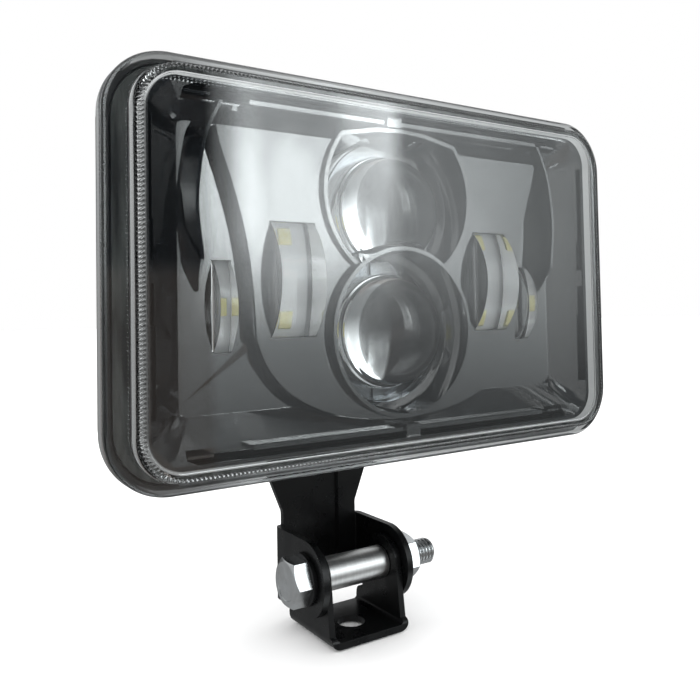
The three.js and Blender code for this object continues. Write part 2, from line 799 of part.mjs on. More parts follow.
function footBracket() {
  const outer = SPACER_HALF + SHEET;
  const bore = turnedX([[0, -30], [BORE_RADIUS, -30], [BORE_RADIUS, 30], [0, 30]], 0, PIVOT_Z);
  const hole = new THREE.CylinderGeometry(FOOT_HOLE_RADIUS, FOOT_HOLE_RADIUS, SHEET * 4, ROUND);
  hole.rotateX(Math.PI / 2);
  return combine(block(-outer, outer, FOOT_FRONT_Y, FOOT_BACK_Y, 0, SHEET), [
    prismX(footEar(), outer - SHEET, outer),
    prismX(footEar(), -outer, -outer + SHEET),
  ], [bore, hole]);
}

function spacerTube() {
  const half = SPACER_HALF - 0.05;
  return turnedX([
    [4.15, -half],
    [5, -half],
    [5, half],
    [4.15, half],
    [4.15, -half],
  ], 0, PIVOT_Z);
}

// --------------------------------------------------------------- fasteners

function hexagon(flats) {
  return arc(0, 0, flats / Math.sqrt(3), 0, 300, 5);
}

function hexBodyX(flats, x0, x1, turn) {
  const body = prismX(hexagon(flats), x0, x1);
  body.rotateX(THREE.MathUtils.degToRad(turn));
  return body.translate(0, 0, PIVOT_Z);
}

// Turned envelope that gives a hexagon its chamfered corners.
function chamferEnvelope(flats, x0, x1, chamferStart, chamferEnd) {
  const flat = flats * 0.475;
  const wide = flats * 0.6;
  const cut = (wide - flat) * 0.5774;
  const profile = [[0, x0]];
  profile.push(chamferStart ? [flat, x0] : [wide, x0]);
  if (chamferStart) {
    profile.push([wide, x0 + cut]);
  }
  if (chamferEnd) {
    profile.push([wide, x1 - cut]);
  }
  profile.push(chamferEnd ? [flat, x1] : [wide, x1]);
  profile.push([0, x1]);
  return turnedX(profile, 0, PIVOT_Z);
}

function threadProfile(startX, endX) {
  const profile = [];
  for (let x = startX; x < endX - THREAD_PITCH; x += THREAD_PITCH) {
    profile.push([BOLT_RADIUS - THREAD_DEPTH, x]);
    profile.push([BOLT_RADIUS, x + THREAD_PITCH * 0.4]);
    profile.push([BOLT_RADIUS, x + THREAD_PITCH * 0.6]);
  }
  profile.push([BOLT_RADIUS - THREAD_DEPTH, endX - 0.9]);
  profile.push([BOLT_RADIUS - 1.2, endX]);
  profile.push([0, endX]);
  return profile;
}

function pivotBolt() {
  const seatX = -armOuterHalf() - WASHER_THICK - 0.1;
  const headX = seatX - HEAD_HEIGHT;
  const head = toManifold(hexBodyX(HEAD_FLATS, headX, seatX, 3))
    .intersect(toManifold(chamferEnvelope(HEAD_FLATS, headX, seatX, true, false)));
  const shank = turnedX([
    [0, seatX - 1],
    [BOLT_RADIUS, seatX - 1],
    [BOLT_RADIUS, THREAD_START_X],
    ...threadProfile(THREAD_START_X + 0.4, BOLT_END_X),
  ], 0, PIVOT_Z, 32);
  return fromManifold(head.add(toManifold(shank)));
}

function pivotNut() {
  const x0 = armOuterHalf() + 0.1;
  const x1 = x0 + NUT_HEIGHT;
  const body = toManifold(hexBodyX(HEAD_FLATS, x0, x1, 14))
    .intersect(toManifold(chamferEnvelope(HEAD_FLATS, x0, x1, true, true)));
  const bore = turnedX([
    [0, x0 - 1],
    [BORE_RADIUS, x0 - 1],
    [BORE_RADIUS, x1 + 1],
    [0, x1 + 1],
  ], 0, PIVOT_Z, ROUND);
  return fromManifold(body.subtract(toManifold(bore)));
}

function headWasher() {
  const x1 = -armOuterHalf() - 0.05;
  const x0 = x1 - WASHER_THICK;
  return turnedX([
    [4.2, x0],
    [7.7, x0],
    [7.7, x1],
    [4.2, x1],
    [4.2, x0],
  ], 0, PIVOT_Z);
}

function armScrew(x, z) {
  const seatY = ARM_PLATE_Y + SHEET + ARM_WASHER.thick + SEAT_GAP;
  const endY = PAD_BACK_Y - ARM_SCREW_DEPTH;
  const { radius, edge, shoulder, height, socket } = ARM_SCREW_HEAD;
  const recess = hexagon(socket).map(([u, v]) => [u + x, v + z]);
  return combine(turnedY([
    [0, endY],
    [ARM_SCREW_RADIUS, endY],
    [ARM_SCREW_RADIUS, seatY],
    [radius, seatY],
    [radius - 0.2, seatY + edge],
    [radius - 1.4, seatY + shoulder],
    [0, seatY + height],
  ], x, z, 32), [], [prismY(recess, seatY + 1.2, seatY + height + 1)]);
}

function armWasher(x, z) {
  const y0 = ARM_PLATE_Y + SHEET + SEAT_GAP / 2;
  return ringY(ARM_WASHER.bore, ARM_WASHER.radius, y0, y0 + ARM_WASHER.thick, x, z);
}

// ---------------------------------------------------------------- assembly

const STEEL = { color: 0xb9bcc0, roughness: 0.28, metalness: 1 };
const ZINC = { color: 0xc3c9cf, roughness: 0.34, metalness: 1 };
const BLACK_STEEL = { color: 0x0c0c0d, roughness: 0.38, metalness: 0.1 };
const BLACK_CAST = { color: 0x111213, roughness: 0.6, metalness: 0.2 };
const BLACK_GLOSS = { color: 0x0a0b0c, roughness: 0.08, metalness: 0 };
const BLACK_RUBBER = { color: 0x101010, roughness: 0.85, metalness: 0 };
const CLEAR = { color: 0xe4ecee, roughness: 0.04, metalness: 0, transparent: true, opacity: 0.3 };
const OPTIC = { color: 0xf1f6f8, roughness: 0.03, metalness: 0, transparent: true, opacity: 0.5 };
const CHROME = { color: 0xe6e8ea, roughness: 0.06, metalness: 1 };
const ALUMINIUM = { color: 0xaeb2b6, roughness: 0.42, metalness: 1 };
const BOARD = { color: 0xe9ecea, roughness: 0.5, metalness: 0 };
const GREEN_BOARD = { color: 0x1c5a35, roughness: 0.5, metalness: 0 };
const PHOSPHOR = { color: 0xe2c53a, roughness: 0.5, metalness: 0 };

function named(name, geometry, finish) {
  const tidy = clean(geometry);
  tidy.computeVertexNormals();
  const mesh = new THREE.Mesh(tidy, new THREE.MeshStandardMaterial(finish));
  mesh.name = name;
  return mesh;
}

function inLamp(name, geometry, finish) {
  return named(name, geometry.translate(0, LAMP_FRONT_Y, LAMP_CENTRE_Z), finish);
}

const assembly = new THREE.Group();
assembly.name = "fog_light";

assembly.add(inLamp("front_lens", frontLens(), CLEAR));
assembly.add(inLamp("lens_gasket", lensGasket(), BLACK_RUBBER));
assembly.add(inLamp("bezel", bezel(), BLACK_GLOSS));
assembly.add(inLamp("upper_projector_lens", upperProjectorLens(), OPTIC));
assembly.add(inLamp("lower_projector_lens", lowerProjectorLens(), OPTIC));
assembly.add(inLamp("upper_reflector", upperReflector(), CHROME));
assembly.add(inLamp("lower_reflector", reflectorCup(LOWER_Z), CHROME));
assembly.add(inLamp("upper_led_board", projectorBoard(UPPER_Z), BOARD));
assembly.add(inLamp("lower_led_board", projectorBoard(LOWER_Z), BOARD));
assembly.add(inLamp("upper_led", projectorChip(UPPER_Z), PHOSPHOR));
assembly.add(inLamp("lower_led", projectorChip(LOWER_Z), PHOSPHOR));

for (const [label, side] of [["left", -1], ["right", 1]]) {
  assembly.add(inLamp(`${label}_inner_optic`, sideOptic(INNER_OPTIC, side), OPTIC));
  assembly.add(inLamp(`${label}_outer_optic`, sideOptic(OUTER_OPTIC, side), OPTIC));
  assembly.add(inLamp(`${label}_led_board`, sideBoard(side), BOARD));
  for (const chip of SIDE_CHIPS) {
    assembly.add(inLamp(`${label}_${chip.place}_led`, sideChip(side, chip), PHOSPHOR));
  }
}

assembly.add(inLamp("heat_plate", heatPlate(), ALUMINIUM));
assembly.add(inLamp("driver_board", driverBoard(), GREEN_BOARD));
assembly.add(inLamp("housing", housing(), BLACK_CAST));
assembly.add(inLamp("cable_gland", cableGland(), BLACK_RUBBER));
assembly.add(inLamp("vent_plug", ventPlug(), BLACK_RUBBER));

ARM_SCREWS.forEach(([x, z], i) => {
  assembly.add(inLamp(`arm_washer_${i + 1}`, armWasher(x, z), ZINC));
  assembly.add(inLamp(`arm_screw_${i + 1}`, armScrew(x, z), ZINC));
});

assembly.add(named("arm_bracket", armBracket(), BLACK_STEEL));
assembly.add(named("foot_bracket", footBracket(), BLACK_STEEL));
assembly.add(named("spacer_tube", spacerTube(), STEEL));
assembly.add(named("pivot_bolt", pivotBolt(), ZINC));
assembly.add(named("head_washer", headWasher(), BLACK_STEEL));
assembly.add(named("pivot_nut", pivotNut(), ZINC));

export default assembly;
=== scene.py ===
"""Looks of a rectangular lamp on a tilting steel bracket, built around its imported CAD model.

Lamp pieces are written in millimetres in the lamp's own axes: X to the right, Y backwards from
the front of the cover's flange, Z up from the lamp's centre. Bracket pieces are written in
millimetres in the axes of the whole object, whose origin is the foot's fixing hole.
"""

import json
from math import acos, asin, ceil, cos, degrees, pi, radians, sin, sqrt, tan

import bmesh
import bpy
from mathutils import Matrix, Vector

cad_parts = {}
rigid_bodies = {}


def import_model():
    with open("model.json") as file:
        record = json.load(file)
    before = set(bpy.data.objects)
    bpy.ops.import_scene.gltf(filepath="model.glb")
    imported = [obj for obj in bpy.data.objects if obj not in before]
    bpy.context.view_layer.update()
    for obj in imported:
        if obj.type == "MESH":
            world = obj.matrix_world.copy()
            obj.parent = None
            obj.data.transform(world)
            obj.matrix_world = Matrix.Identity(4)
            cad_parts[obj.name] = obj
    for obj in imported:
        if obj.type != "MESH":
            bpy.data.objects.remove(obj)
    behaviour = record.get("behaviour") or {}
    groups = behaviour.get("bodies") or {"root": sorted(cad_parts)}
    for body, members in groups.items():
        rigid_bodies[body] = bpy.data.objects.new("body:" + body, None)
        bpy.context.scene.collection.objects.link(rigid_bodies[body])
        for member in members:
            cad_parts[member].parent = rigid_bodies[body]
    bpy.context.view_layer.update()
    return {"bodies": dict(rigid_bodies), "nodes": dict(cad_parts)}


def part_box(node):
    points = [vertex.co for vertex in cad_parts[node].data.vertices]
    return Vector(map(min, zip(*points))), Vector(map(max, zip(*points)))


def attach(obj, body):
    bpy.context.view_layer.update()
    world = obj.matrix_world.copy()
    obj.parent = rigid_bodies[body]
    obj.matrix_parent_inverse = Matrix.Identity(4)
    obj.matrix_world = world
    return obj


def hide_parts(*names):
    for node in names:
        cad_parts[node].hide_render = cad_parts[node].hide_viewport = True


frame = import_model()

MM = 0.001

# ------------------------------------------------------------------ driving places

cover_low, cover_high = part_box("front_lens")
tube_low, tube_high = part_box("spacer_tube")
foot_low, foot_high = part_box("foot_bracket")

COVER_RISE = 4.6        # raised front face ahead of the flange
COVER_HALF_X = (cover_high.x - cover_low.x) / 2 / MM
COVER_HALF_Z = (cover_high.z - cover_low.z) / 2 / MM
FLANGE_BACK = (cover_high.y - cover_low.y) / MM - COVER_RISE
LAMP_Y = cover_low.y / MM + COVER_RISE
LAMP_Z = (cover_high.z + cover_low.z) / 2 / MM
PIVOT_Z = (tube_high.z + tube_low.z) / 2 / MM

AXIS = 0.001            # radius that stands for a point on the axis of a turned body
TOOL_REACH = 30.0       # half length of a tool that passes right through

LAMP_FRAME = Matrix.Translation((0, LAMP_Y * MM, LAMP_Z * MM)) @ Matrix.Scale(MM, 4)
OBJECT_FRAME = Matrix.Scale(MM, 4)

# ------------------------------------------------------------------ mesh code


def solid(name, points, faces):
    """A closed mesh object, or one flat face."""
    mesh = bpy.data.meshes.new(name)
    mesh.from_pydata([tuple(p) for p in points], [], faces)
    mesh.validate()
    bm = bmesh.new()
    bm.from_mesh(mesh)
    bmesh.ops.remove_doubles(bm, verts=bm.verts, dist=1e-5)
    bmesh.ops.dissolve_degenerate(bm, edges=bm.edges, dist=1e-6)
    bmesh.ops.recalc_face_normals(bm, faces=bm.faces)
    bm.to_mesh(mesh)
    bm.free()
    obj = bpy.data.objects.new(name, mesh)
    bpy.context.scene.collection.objects.link(obj)
    return obj


def loft(rings, closed=False):
    """Skin over rings of equal length; capped at both ends, or joined end to end."""
    count = len(rings[0])
    points = [p for ring in rings for p in ring]
    faces = []
    last = len(rings) if closed else len(rings) - 1
    for r in range(last):
        a, b = r * count, (r + 1) % len(rings) * count
        for i in range(count):
            j = (i + 1) % count
            faces.append((a + i, a + j, b + j, b + i))
    if not closed:
        faces.append(tuple(range(count)))
        faces.append(tuple((len(rings) - 1) * count + i for i in range(count)))
    return solid("loft", points, faces)


def arc(u, v, radius, start, end, steps):
    """Points on a circle, angles in degrees."""
    turns = [radians(start + (end - start) * i / steps) for i in range(steps + 1)]
    return [(u + radius * cos(t), v + radius * sin(t)) for t in turns]


def rounded_rectangle(half_u, half_v, radius, shift_v=0.0, steps=14):
    """Outline with an arc at each corner."""
    u, v = half_u - radius, half_v - radius
    return (arc(u, v + shift_v, radius, 0, 90, steps)
            + arc(-u, v + shift_v, radius, 90, 180, steps)
            + arc(-u, -v + shift_v, radius, 180, 270, steps)
            + arc(u, -v + shift_v, radius, 270, 360, steps))


def chamfered_rectangle(half_u, half_v, facet, shift_v=0.0):
    """Outline with a straight facet across each corner."""
    u, v = half_u - facet, half_v - facet
    return [(p, q + shift_v) for p, q in [
        (half_u, -v), (half_u, v), (u, half_v), (-u, half_v),
        (-half_u, v), (-half_u, -v), (-u, -half_v), (u, -half_v)]]


def rectangle_loft(rows):
    """Rows of half width, half height, corner radius and y."""
    return loft([[(x, y, z) for x, z in rounded_rectangle(half_x, half_z, radius)]
                 for half_x, half_z, radius, y in rows])


def rounded_outline(corners, default=0.0, steps=5):
    """Closed outline with filleted corners; a corner is (u, v) or (u, v, radius)."""
    out = []
    count = len(corners)
    for i, corner in enumerate(corners):
        here = Vector(corner[:2])
        radius = corner[2] if len(corner) > 2 else default
        before = Vector(corners[i - 1][:2]) - here
        after = Vector(corners[(i + 1) % count][:2]) - here
        if radius <= 0:
            out.append(tuple(here))
            continue
        a, b = before.normalized(), after.normalized()
        half = acos(max(-1, min(1, a.dot(b)))) / 2
        reach = min(radius / max(sin(half), 1e-6) * cos(half),
                    before.length * 0.49, after.length * 0.49)
        start, end = here + a * reach, here + b * reach
        for k in range(steps + 1):
            t = k / steps
            p = start * (1 - t) ** 2 + here * (2 * t * (1 - t)) + end * t ** 2
            out.append(tuple(p))
    return out


def prism(outline, low, high, axis="y"):
    """An outline drawn in the other two axes, given thickness along axis."""
    def at(p, t):
        u, v = p
        return {"x": (t, u, v), "y": (u, t, v), "z": (u, v, t)}[axis]
    return loft([[at(p, low) for p in outline], [at(p, high) for p in outline]])


def box(x0, x1, y0, y1, z0, z1):
    """A block between two corners."""
    return prism([(x0, z0), (x1, z0), (x1, z1), (x0, z1)], y0, y1)


def turned(profile, x=0.0, z=0.0, steps=96, axis="y"):
    """A body turned about an axis; the profile holds (radius, place along the axis)."""
    rings = []
    for radius, t in profile:
        ring = []
        for i in range(steps):
            turn = 2 * pi * i / steps
            u, v = radius * cos(turn), radius * sin(turn)
            ring.append((x + u, t, z + v) if axis == "y" else (t, u, z + v))
        rings.append(ring)
    if profile[0] == profile[-1]:
        return loft(rings[:-1], closed=True)
    return loft(rings)


def rod(radius, start, end, x, z, steps, axis="y"):
    """A plain round rod between two places along its axis."""
    return turned([(AXIS, start), (radius, start), (radius, end), (AXIS, end)], x, z, steps, axis)


def boolean(base, tools, operation):
    """Applies each tool to the base and removes the tool."""
    for tool in tools:
        modifier = base.modifiers.new("shape", "BOOLEAN")
        modifier.operation = operation
        modifier.solver = "EXACT"
        modifier.object = tool
        bake(base)
        bpy.data.objects.remove(tool)
    return base


def cut(base, *tools):
    return boolean(base, tools, "DIFFERENCE")


def add(base, *tools):
    return boolean(base, tools, "UNION")


def common(base, *tools):
    return boolean(base, tools, "INTERSECT")


def bake(obj):
    """Makes the result of the modifiers the object's own mesh."""
    bpy.context.view_layer.update()
    graph = bpy.context.evaluated_depsgraph_get()
    mesh = bpy.data.meshes.new_from_object(obj.evaluated_get(graph))
    obj.modifiers.clear()
    obj.data = mesh
    return obj


def soften(obj, width, segments=2, angle=32):
    """Small radii on the edges, as a moulding or a pressing has."""
    bm = bmesh.new()
    bm.from_mesh(obj.data)
    bmesh.ops.remove_doubles(bm, verts=bm.verts, dist=1e-4)
    bmesh.ops.dissolve_limit(bm, angle_limit=radians(0.5), verts=bm.verts, edges=bm.edges)
    bm.to_mesh(obj.data)
    bm.free()
    modifier = obj.modifiers.new("edges", "BEVEL")
    modifier.width = width
    modifier.segments = segments
    modifier.limit_method = "ANGLE"
    modifier.angle_limit = radians(angle)
    modifier.use_clamp_overlap = True
    modifier.harden_normals = False
    modifier.miter_outer = "MITER_ARC"
    return bake(obj)


def smooth(obj, angle=32):
    """Smooth shading that leaves large flat faces flat beside their rounded edges."""
    for face in obj.data.polygons:
        face.use_smooth = True
    obj.data.set_sharp_from_angle(angle=radians(angle))
    modifier = obj.modifiers.new("shading", "WEIGHTED_NORMAL")
    modifier.mode = "FACE_AREA"
    modifier.weight = 100
    modifier.keep_sharp = True
    return bake(obj)


def piece(obj, name, body, material, into, nodes=(), angle=32):
    """Gives a mesh its name, its place in the object, its finish and the body it rides on."""
    obj.name = name
    obj.data.transform(into)
    smooth(obj, angle)
    obj.data.name = name
    obj.data.materials.clear()
    obj.data.materials.append(material)
    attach(obj, body)
    if nodes:
        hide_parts(*nodes)
    return obj


def lamp_piece(obj, name, material, nodes=(), angle=32):
    """A piece of the lamp head, drawn in the lamp's axes."""
    return piece(obj, name, "lamp_head", material, LAMP_FRAME, nodes, angle)


def soft_copy(node, width, segments=2, angle=32):
    """A copy of the CAD node's mesh, in millimetres of the object, with softened edges."""
    mesh = frame["nodes"][node].data.copy()
    mesh.transform(Matrix.Scale(1 / MM, 4))
    obj = bpy.data.objects.new(node + "_soft", mesh)
    bpy.context.scene.collection.objects.link(obj)
    return soften(obj, width, segments, angle)


# ------------------------------------------------------------------ finishes


class Finish:
    """A procedural finish with grain and cloudy variation; sizes are in millimetres."""

    def __init__(self, name, colour, roughness, metallic=0.0, **sockets):
        self.name = name
        self.material = bpy.data.materials.new(name)
        self.material.use_nodes = True
        self.tree = self.material.node_tree
        self.shader = self.tree.nodes["Principled BSDF"]
        self.set("Base Color", (*colour, 1.0))
        self.set("Roughness", roughness)
        self.set("Metallic", metallic)
        for socket, value in sockets.items():
            self.set(socket.replace("_", " "), value)
        self.place = self.tree.nodes.new("ShaderNodeTexCoord").outputs["Object"]
        self.colour = colour

    def set(self, socket, value):
        self.shader.inputs[socket].default_value = value

    def link(self, output, target):
        self.tree.links.new(output, target)

    def noise(self, size, stretch=(1, 1, 1)):
        """Noise whose features are about size millimetres, longer where stretch is larger."""
        mapping = self.tree.nodes.new("ShaderNodeMapping")
        mapping.inputs["Scale"].default_value = [1 / (size * MM * s) for s in stretch]
        self.link(self.place, mapping.inputs["Vector"])
        node = self.tree.nodes.new("ShaderNodeTexNoise")
        node.inputs["Scale"].default_value = 1.0
        node.inputs["Detail"].default_value = 3.0
        node.inputs["Roughness"].default_value = 0.55
        self.link(mapping.outputs["Vector"], node.inputs["Vector"])
        return node.outputs["Fac"]

    def ranged(self, value, low, high):
        """Spreads the middle of the noise's range over low to high."""
        node = self.tree.nodes.new("ShaderNodeMapRange")
        node.inputs["From Min"].default_value = 0.35
        node.inputs["From Max"].default_value = 0.65
        node.inputs["To Min"].default_value = low
        node.inputs["To Max"].default_value = high
        self.link(value, node.inputs["Value"])
        return node.outputs["Result"]

    def vary_roughness(self, size, low, high, stretch=(1, 1, 1)):
        self.link(self.ranged(self.noise(size, stretch), low, high),
                  self.shader.inputs["Roughness"])
        return self

    def vary_colour(self, size, other, stretch=(1, 1, 1)):
        mix = self.tree.nodes.new("ShaderNodeMix")
        mix.data_type = "RGBA"
        mix.inputs["A"].default_value = (*self.colour, 1.0)
        mix.inputs["B"].default_value = (*other, 1.0)
        self.link(self.ranged(self.noise(size, stretch), 0, 1), mix.inputs["Factor"])
        self.link(mix.outputs["Result"], self.shader.inputs["Base Color"])
        return self

    def grain(self, size, depth, stretch=(1, 1, 1)):
        bump = self.tree.nodes.new("ShaderNodeBump")
        bump.inputs["Distance"].default_value = depth * MM
        bump.inputs["Strength"].default_value = 1.0
        self.link(self.noise(size, stretch), bump.inputs["Height"])
        self.link(bump.outputs["Normal"], self.shader.inputs["Normal"])
        return self


def finishes():
    return [
        Finish("clear_cover", (0.985, 0.995, 0.99), 0.0, Transmission_Weight=1.0, IOR=1.53)
        .vary_roughness(25, 0.0, 0.012)
        .grain(30, 0.012),
        Finish("clear_optic", (0.985, 0.99, 0.995), 0.0, Transmission_Weight=1.0, IOR=1.5)
        .vary_roughness(6, 0.0, 0.01)
        .grain(5, 0.002),
        Finish("black_gloss", (0.004, 0.005, 0.006), 0.04, IOR=2.3)
        .vary_roughness(14, 0.02, 0.06)
        .vary_colour(30, (0.007, 0.008, 0.009))
        .grain(9, 0.004),
        Finish("black_rubber", (0.022, 0.023, 0.023), 0.6)
        .vary_roughness(4, 0.5, 0.75)
        .vary_colour(6, (0.035, 0.036, 0.035))
        .grain(0.5, 0.02),
        Finish("sealant", (0.06, 0.066, 0.064), 0.4)
        .vary_roughness(5, 0.3, 0.5)
        .vary_colour(2.2, (0.012, 0.014, 0.014), stretch=(1.2, 1.2, 9))
        .grain(1.6, 0.15, stretch=(1, 1, 3)),
        Finish("black_cast", (0.013, 0.0135, 0.014), 0.45)
        .vary_roughness(8, 0.38, 0.55)
        .vary_colour(18, (0.02, 0.021, 0.022))
        .grain(0.45, 0.02),
        Finish("black_steel", (0.003, 0.0033, 0.0036), 0.3, Specular_IOR_Level=0.28)
        .vary_roughness(7, 0.24, 0.38)
        .vary_colour(15, (0.005, 0.0053, 0.0056))
        .grain(0.8, 0.012),
        Finish("bright_steel", (0.80, 0.80, 0.79), 0.38, metallic=1.0)
        .vary_roughness(0.35, 0.34, 0.42, stretch=(1, 14, 14))
        .vary_colour(1.5, (0.72, 0.72, 0.71), stretch=(0.3, 5, 5))
        .grain(0.3, 0.001, stretch=(1, 14, 14)),
        Finish("zinc", (0.66, 0.68, 0.69), 0.2, metallic=1.0)
        .vary_roughness(3, 0.16, 0.24)
        .vary_colour(4, (0.58, 0.59, 0.59))
        .grain(0.9, 0.002),
        Finish("chrome", (0.13, 0.14, 0.15), 0.2, metallic=1.0)
        .vary_roughness(5, 0.15, 0.27)
        .vary_colour(9, (0.10, 0.11, 0.12))
        .grain(4, 0.004),
        Finish("satin_chrome", (0.32, 0.33, 0.34), 0.9, metallic=1.0)
        .vary_roughness(4, 0.85, 1.0)
        .vary_colour(7, (0.27, 0.28, 0.29))
        .grain(1.5, 0.004),
        Finish("aluminium", (0.55, 0.56, 0.57), 0.4, metallic=1.0)
        .vary_roughness(3, 0.32, 0.5, stretch=(6, 1, 1))
        .vary_colour(7, (0.48, 0.49, 0.50))
        .grain(0.6, 0.01, stretch=(6, 1, 1)),
        Finish("white_board", (0.78, 0.80, 0.80), 0.4)
        .vary_roughness(2, 0.3, 0.5)
        .vary_colour(4, (0.70, 0.73, 0.74))
        .grain(0.4, 0.006),
        Finish("green_board", (0.02, 0.10, 0.045), 0.35)
        .vary_roughness(3, 0.28, 0.45)
        .vary_colour(2, (0.03, 0.15, 0.07))
        .grain(0.4, 0.01),
        Finish("phosphor", (0.86, 0.80, 0.30), 0.4)
        .vary_roughness(0.8, 0.3, 0.5)
        .vary_colour(1.2, (0.88, 0.84, 0.44))
        .grain(0.2, 0.006),
    ]


LOOK = {finish.name: finish.material for finish in finishes()}

# ------------------------------------------------------------------ cover

COVER_WALL = 2.3
POINTS_PER_FLUTE = 4
FLUTES = (124, 70, 15)          # along the long sides, the short sides and each corner


def perimeter(half_x, half_z, radius, counts):
    """Rounded rectangle with given numbers of points on each side and corner."""
    along_x, along_z, corner = counts
    x, z = half_x - radius, half_z - radius
    out = []
    for turn, (cx, cz) in enumerate([(x, z), (-x, z), (-x, -z), (x, -z)]):
        out += arc(cx, cz, radius, 90 * turn, 90 * turn + 90, corner)[:-1]
        number = along_x if turn % 2 == 0 else along_z
        outward = Vector((radius * cos(pi / 2 * (turn + 1)), radius * sin(pi / 2 * (turn + 1))))
        start = Vector((cx, cz)) + outward
        end = Vector([(-x, z), (-x, -z), (x, -z), (x, z)][turn]) + outward
        out += [tuple(start.lerp(end, i / number)) for i in range(number)]
    return out


def front_lens():
    """Clear cover: flat raised front with a fluted edge, wide flange, open at the back.

    A row holds half width, half height, corner radius, y and the depth of the flutes."""
    counts = [teeth * POINTS_PER_FLUTE for teeth in FLUTES]
    rows = [
        (74.2, 45.9, 9.3, -COVER_RISE, 0),
        (74.5, 46.2, 9.6, -COVER_RISE, 0.0),
        (75.1, 46.75, 10.1, -COVER_RISE + 0.08, 0.6),
        (75.6, 47.15, 10.5, -COVER_RISE + 0.4, 0.6),
        (75.85, 47.35, 10.6, -COVER_RISE + 0.9, 0.5),
        (75.95, 47.4, 10.65, -COVER_RISE + 1.5, 0.3),
        (76.0, 47.42, 10.7, -COVER_RISE + 1.9, 0.0),
        (76.35, 47.65, 10.9, -0.6, 0),
        (76.5, 47.8, 11.0, -0.2, 0),
        (76.85, 48.1, 11.3, 0.0, 0),
        (COVER_HALF_X - 1.4, COVER_HALF_Z - 1.4, 14.1, 0.0, 0),
        (COVER_HALF_X - 0.7, COVER_HALF_Z - 0.7, 14.8, 0.15, 0),
        (COVER_HALF_X - 0.2, COVER_HALF_Z - 0.2, 15.3, 0.6, 0),
        (COVER_HALF_X, COVER_HALF_Z, 15.5, 1.3, 0),
        (COVER_HALF_X, COVER_HALF_Z, 15.5, FLANGE_BACK - 0.4, 0),
        (COVER_HALF_X - 0.3, COVER_HALF_Z - 0.3, 15.2, FLANGE_BACK, 0),
        (74.5, 46.2, 9.5, FLANGE_BACK, 0),
        (74.1, 45.9, 9.2, FLANGE_BACK - 0.4, 0),
        (74.1, 45.9, 9.2, COVER_WALL - COVER_RISE + 1.1, 0),
        (73.8, 45.6, 8.9, COVER_WALL - COVER_RISE + 0.3, 0),
        (73.0, 44.8, 8.1, COVER_WALL - COVER_RISE, 0),
    ]
    rings = []
    for half_x, half_z, radius, y, depth in rows:
        full = perimeter(half_x, half_z, radius, counts)
        low = perimeter(half_x - depth, half_z - depth, radius - depth, counts)
        ring = []
        for i, (p, q) in enumerate(zip(full, low)):
            tooth = 0.5 - 0.5 * cos(2 * pi * i / POINTS_PER_FLUTE)
            ring.append((p[0] + (q[0] - p[0]) * tooth, y, p[1] + (q[1] - p[1]) * tooth))
        rings.append(ring)
    return lamp_piece(loft(rings), "front_lens_looks",
                      LOOK["clear_cover"], ["front_lens"], angle=50)


# ------------------------------------------------------------------ bezel

BEZEL_RIM = 0.8
FLOOR_Y = 8.3
FLOOR_SHIFT = 1.5
FLOOR_HALF_X = 63.0
FLOOR_HALF_Z = 35.8
FLOOR_TILT = 1.4                # degrees, each side of the floor falls towards the middle
DIP_HALF_X = 22.0               # where the two sloping sides end
PLATFORM_Y = 4.0
PLATFORM_BACK = 10.6
BLADE_CREST = 2.0
TROUGH_FLOOR = 6.6
SIDE_TROUGH_FLOOR = 6.2
TOOL_FRONT = -1.0
RIDGE_BACK = 7.4
BEZEL_BACK = 11.0
UPPER_Z = 18.5
LOWER_Z = -15.5
LOWER_COLLAR = 23.6
UPPER_COLLAR = 25.2
UPPER_COLLAR_Z = 22.5
UPPER_COLLAR_TOP = 41.0
COLLAR_LIP = 1.1
POCKET_END = 20.8
POCKET_END_Y = 18.4
COLLAR_RIM_UPPER = 2.6
COLLAR_RIM_LOWER = 1.6
OPTIC_CLEARANCE = 0.3
OPTIC_BACK = 10.6
INNER_OPTIC = {"x": 33.85, "width": 12.8, "z": -1.3, "height": 29, "apex": -2, "seat": PLATFORM_Y}
OUTER_OPTIC = {"x": 51.65, "width": 4.7, "z": -7.9, "height": 22.4, "apex": 3.5, "seat": FLOOR_Y}


def bezel_tray():
    """Shallow tray with sloping walls and a flat facet across each corner."""
    tray = rectangle_loft([
        (73.6, 45.4, 8.7, BEZEL_RIM),
        (73.6, 45.4, 8.7, 4.5),
        (66.0, 39.0, 5.0, BEZEL_BACK),
    ])
    rows = [
        (FLOOR_HALF_X, FLOOR_HALF_Z, 2.6, FLOOR_Y, FLOOR_SHIFT),
        (72.2, 44.2, 5.4, BEZEL_RIM - 0.01, 0.0),
        (72.2, 44.2, 5.4, BEZEL_RIM - 2, 0.0),
    ]
    rings = [[(x, y, z) for x, z in chamfered_rectangle(hx, hz, c, s)]
             for hx, hz, c, y, s in rows]
    dip_y = FLOOR_Y + (FLOOR_HALF_X - DIP_HALF_X) * tan(radians(FLOOR_TILT))
    dip = prism([(-FLOOR_HALF_X, FLOOR_Y), (-DIP_HALF_X, dip_y), (DIP_HALF_X, dip_y),
                 (FLOOR_HALF_X, FLOOR_Y), (FLOOR_HALF_X, FLOOR_Y - 1), (-FLOOR_HALF_X, FLOOR_Y - 1)],
                FLOOR_SHIFT - FLOOR_HALF_Z, FLOOR_SHIFT + FLOOR_HALF_Z, "z")
    return cut(tray, loft(rings), dip)


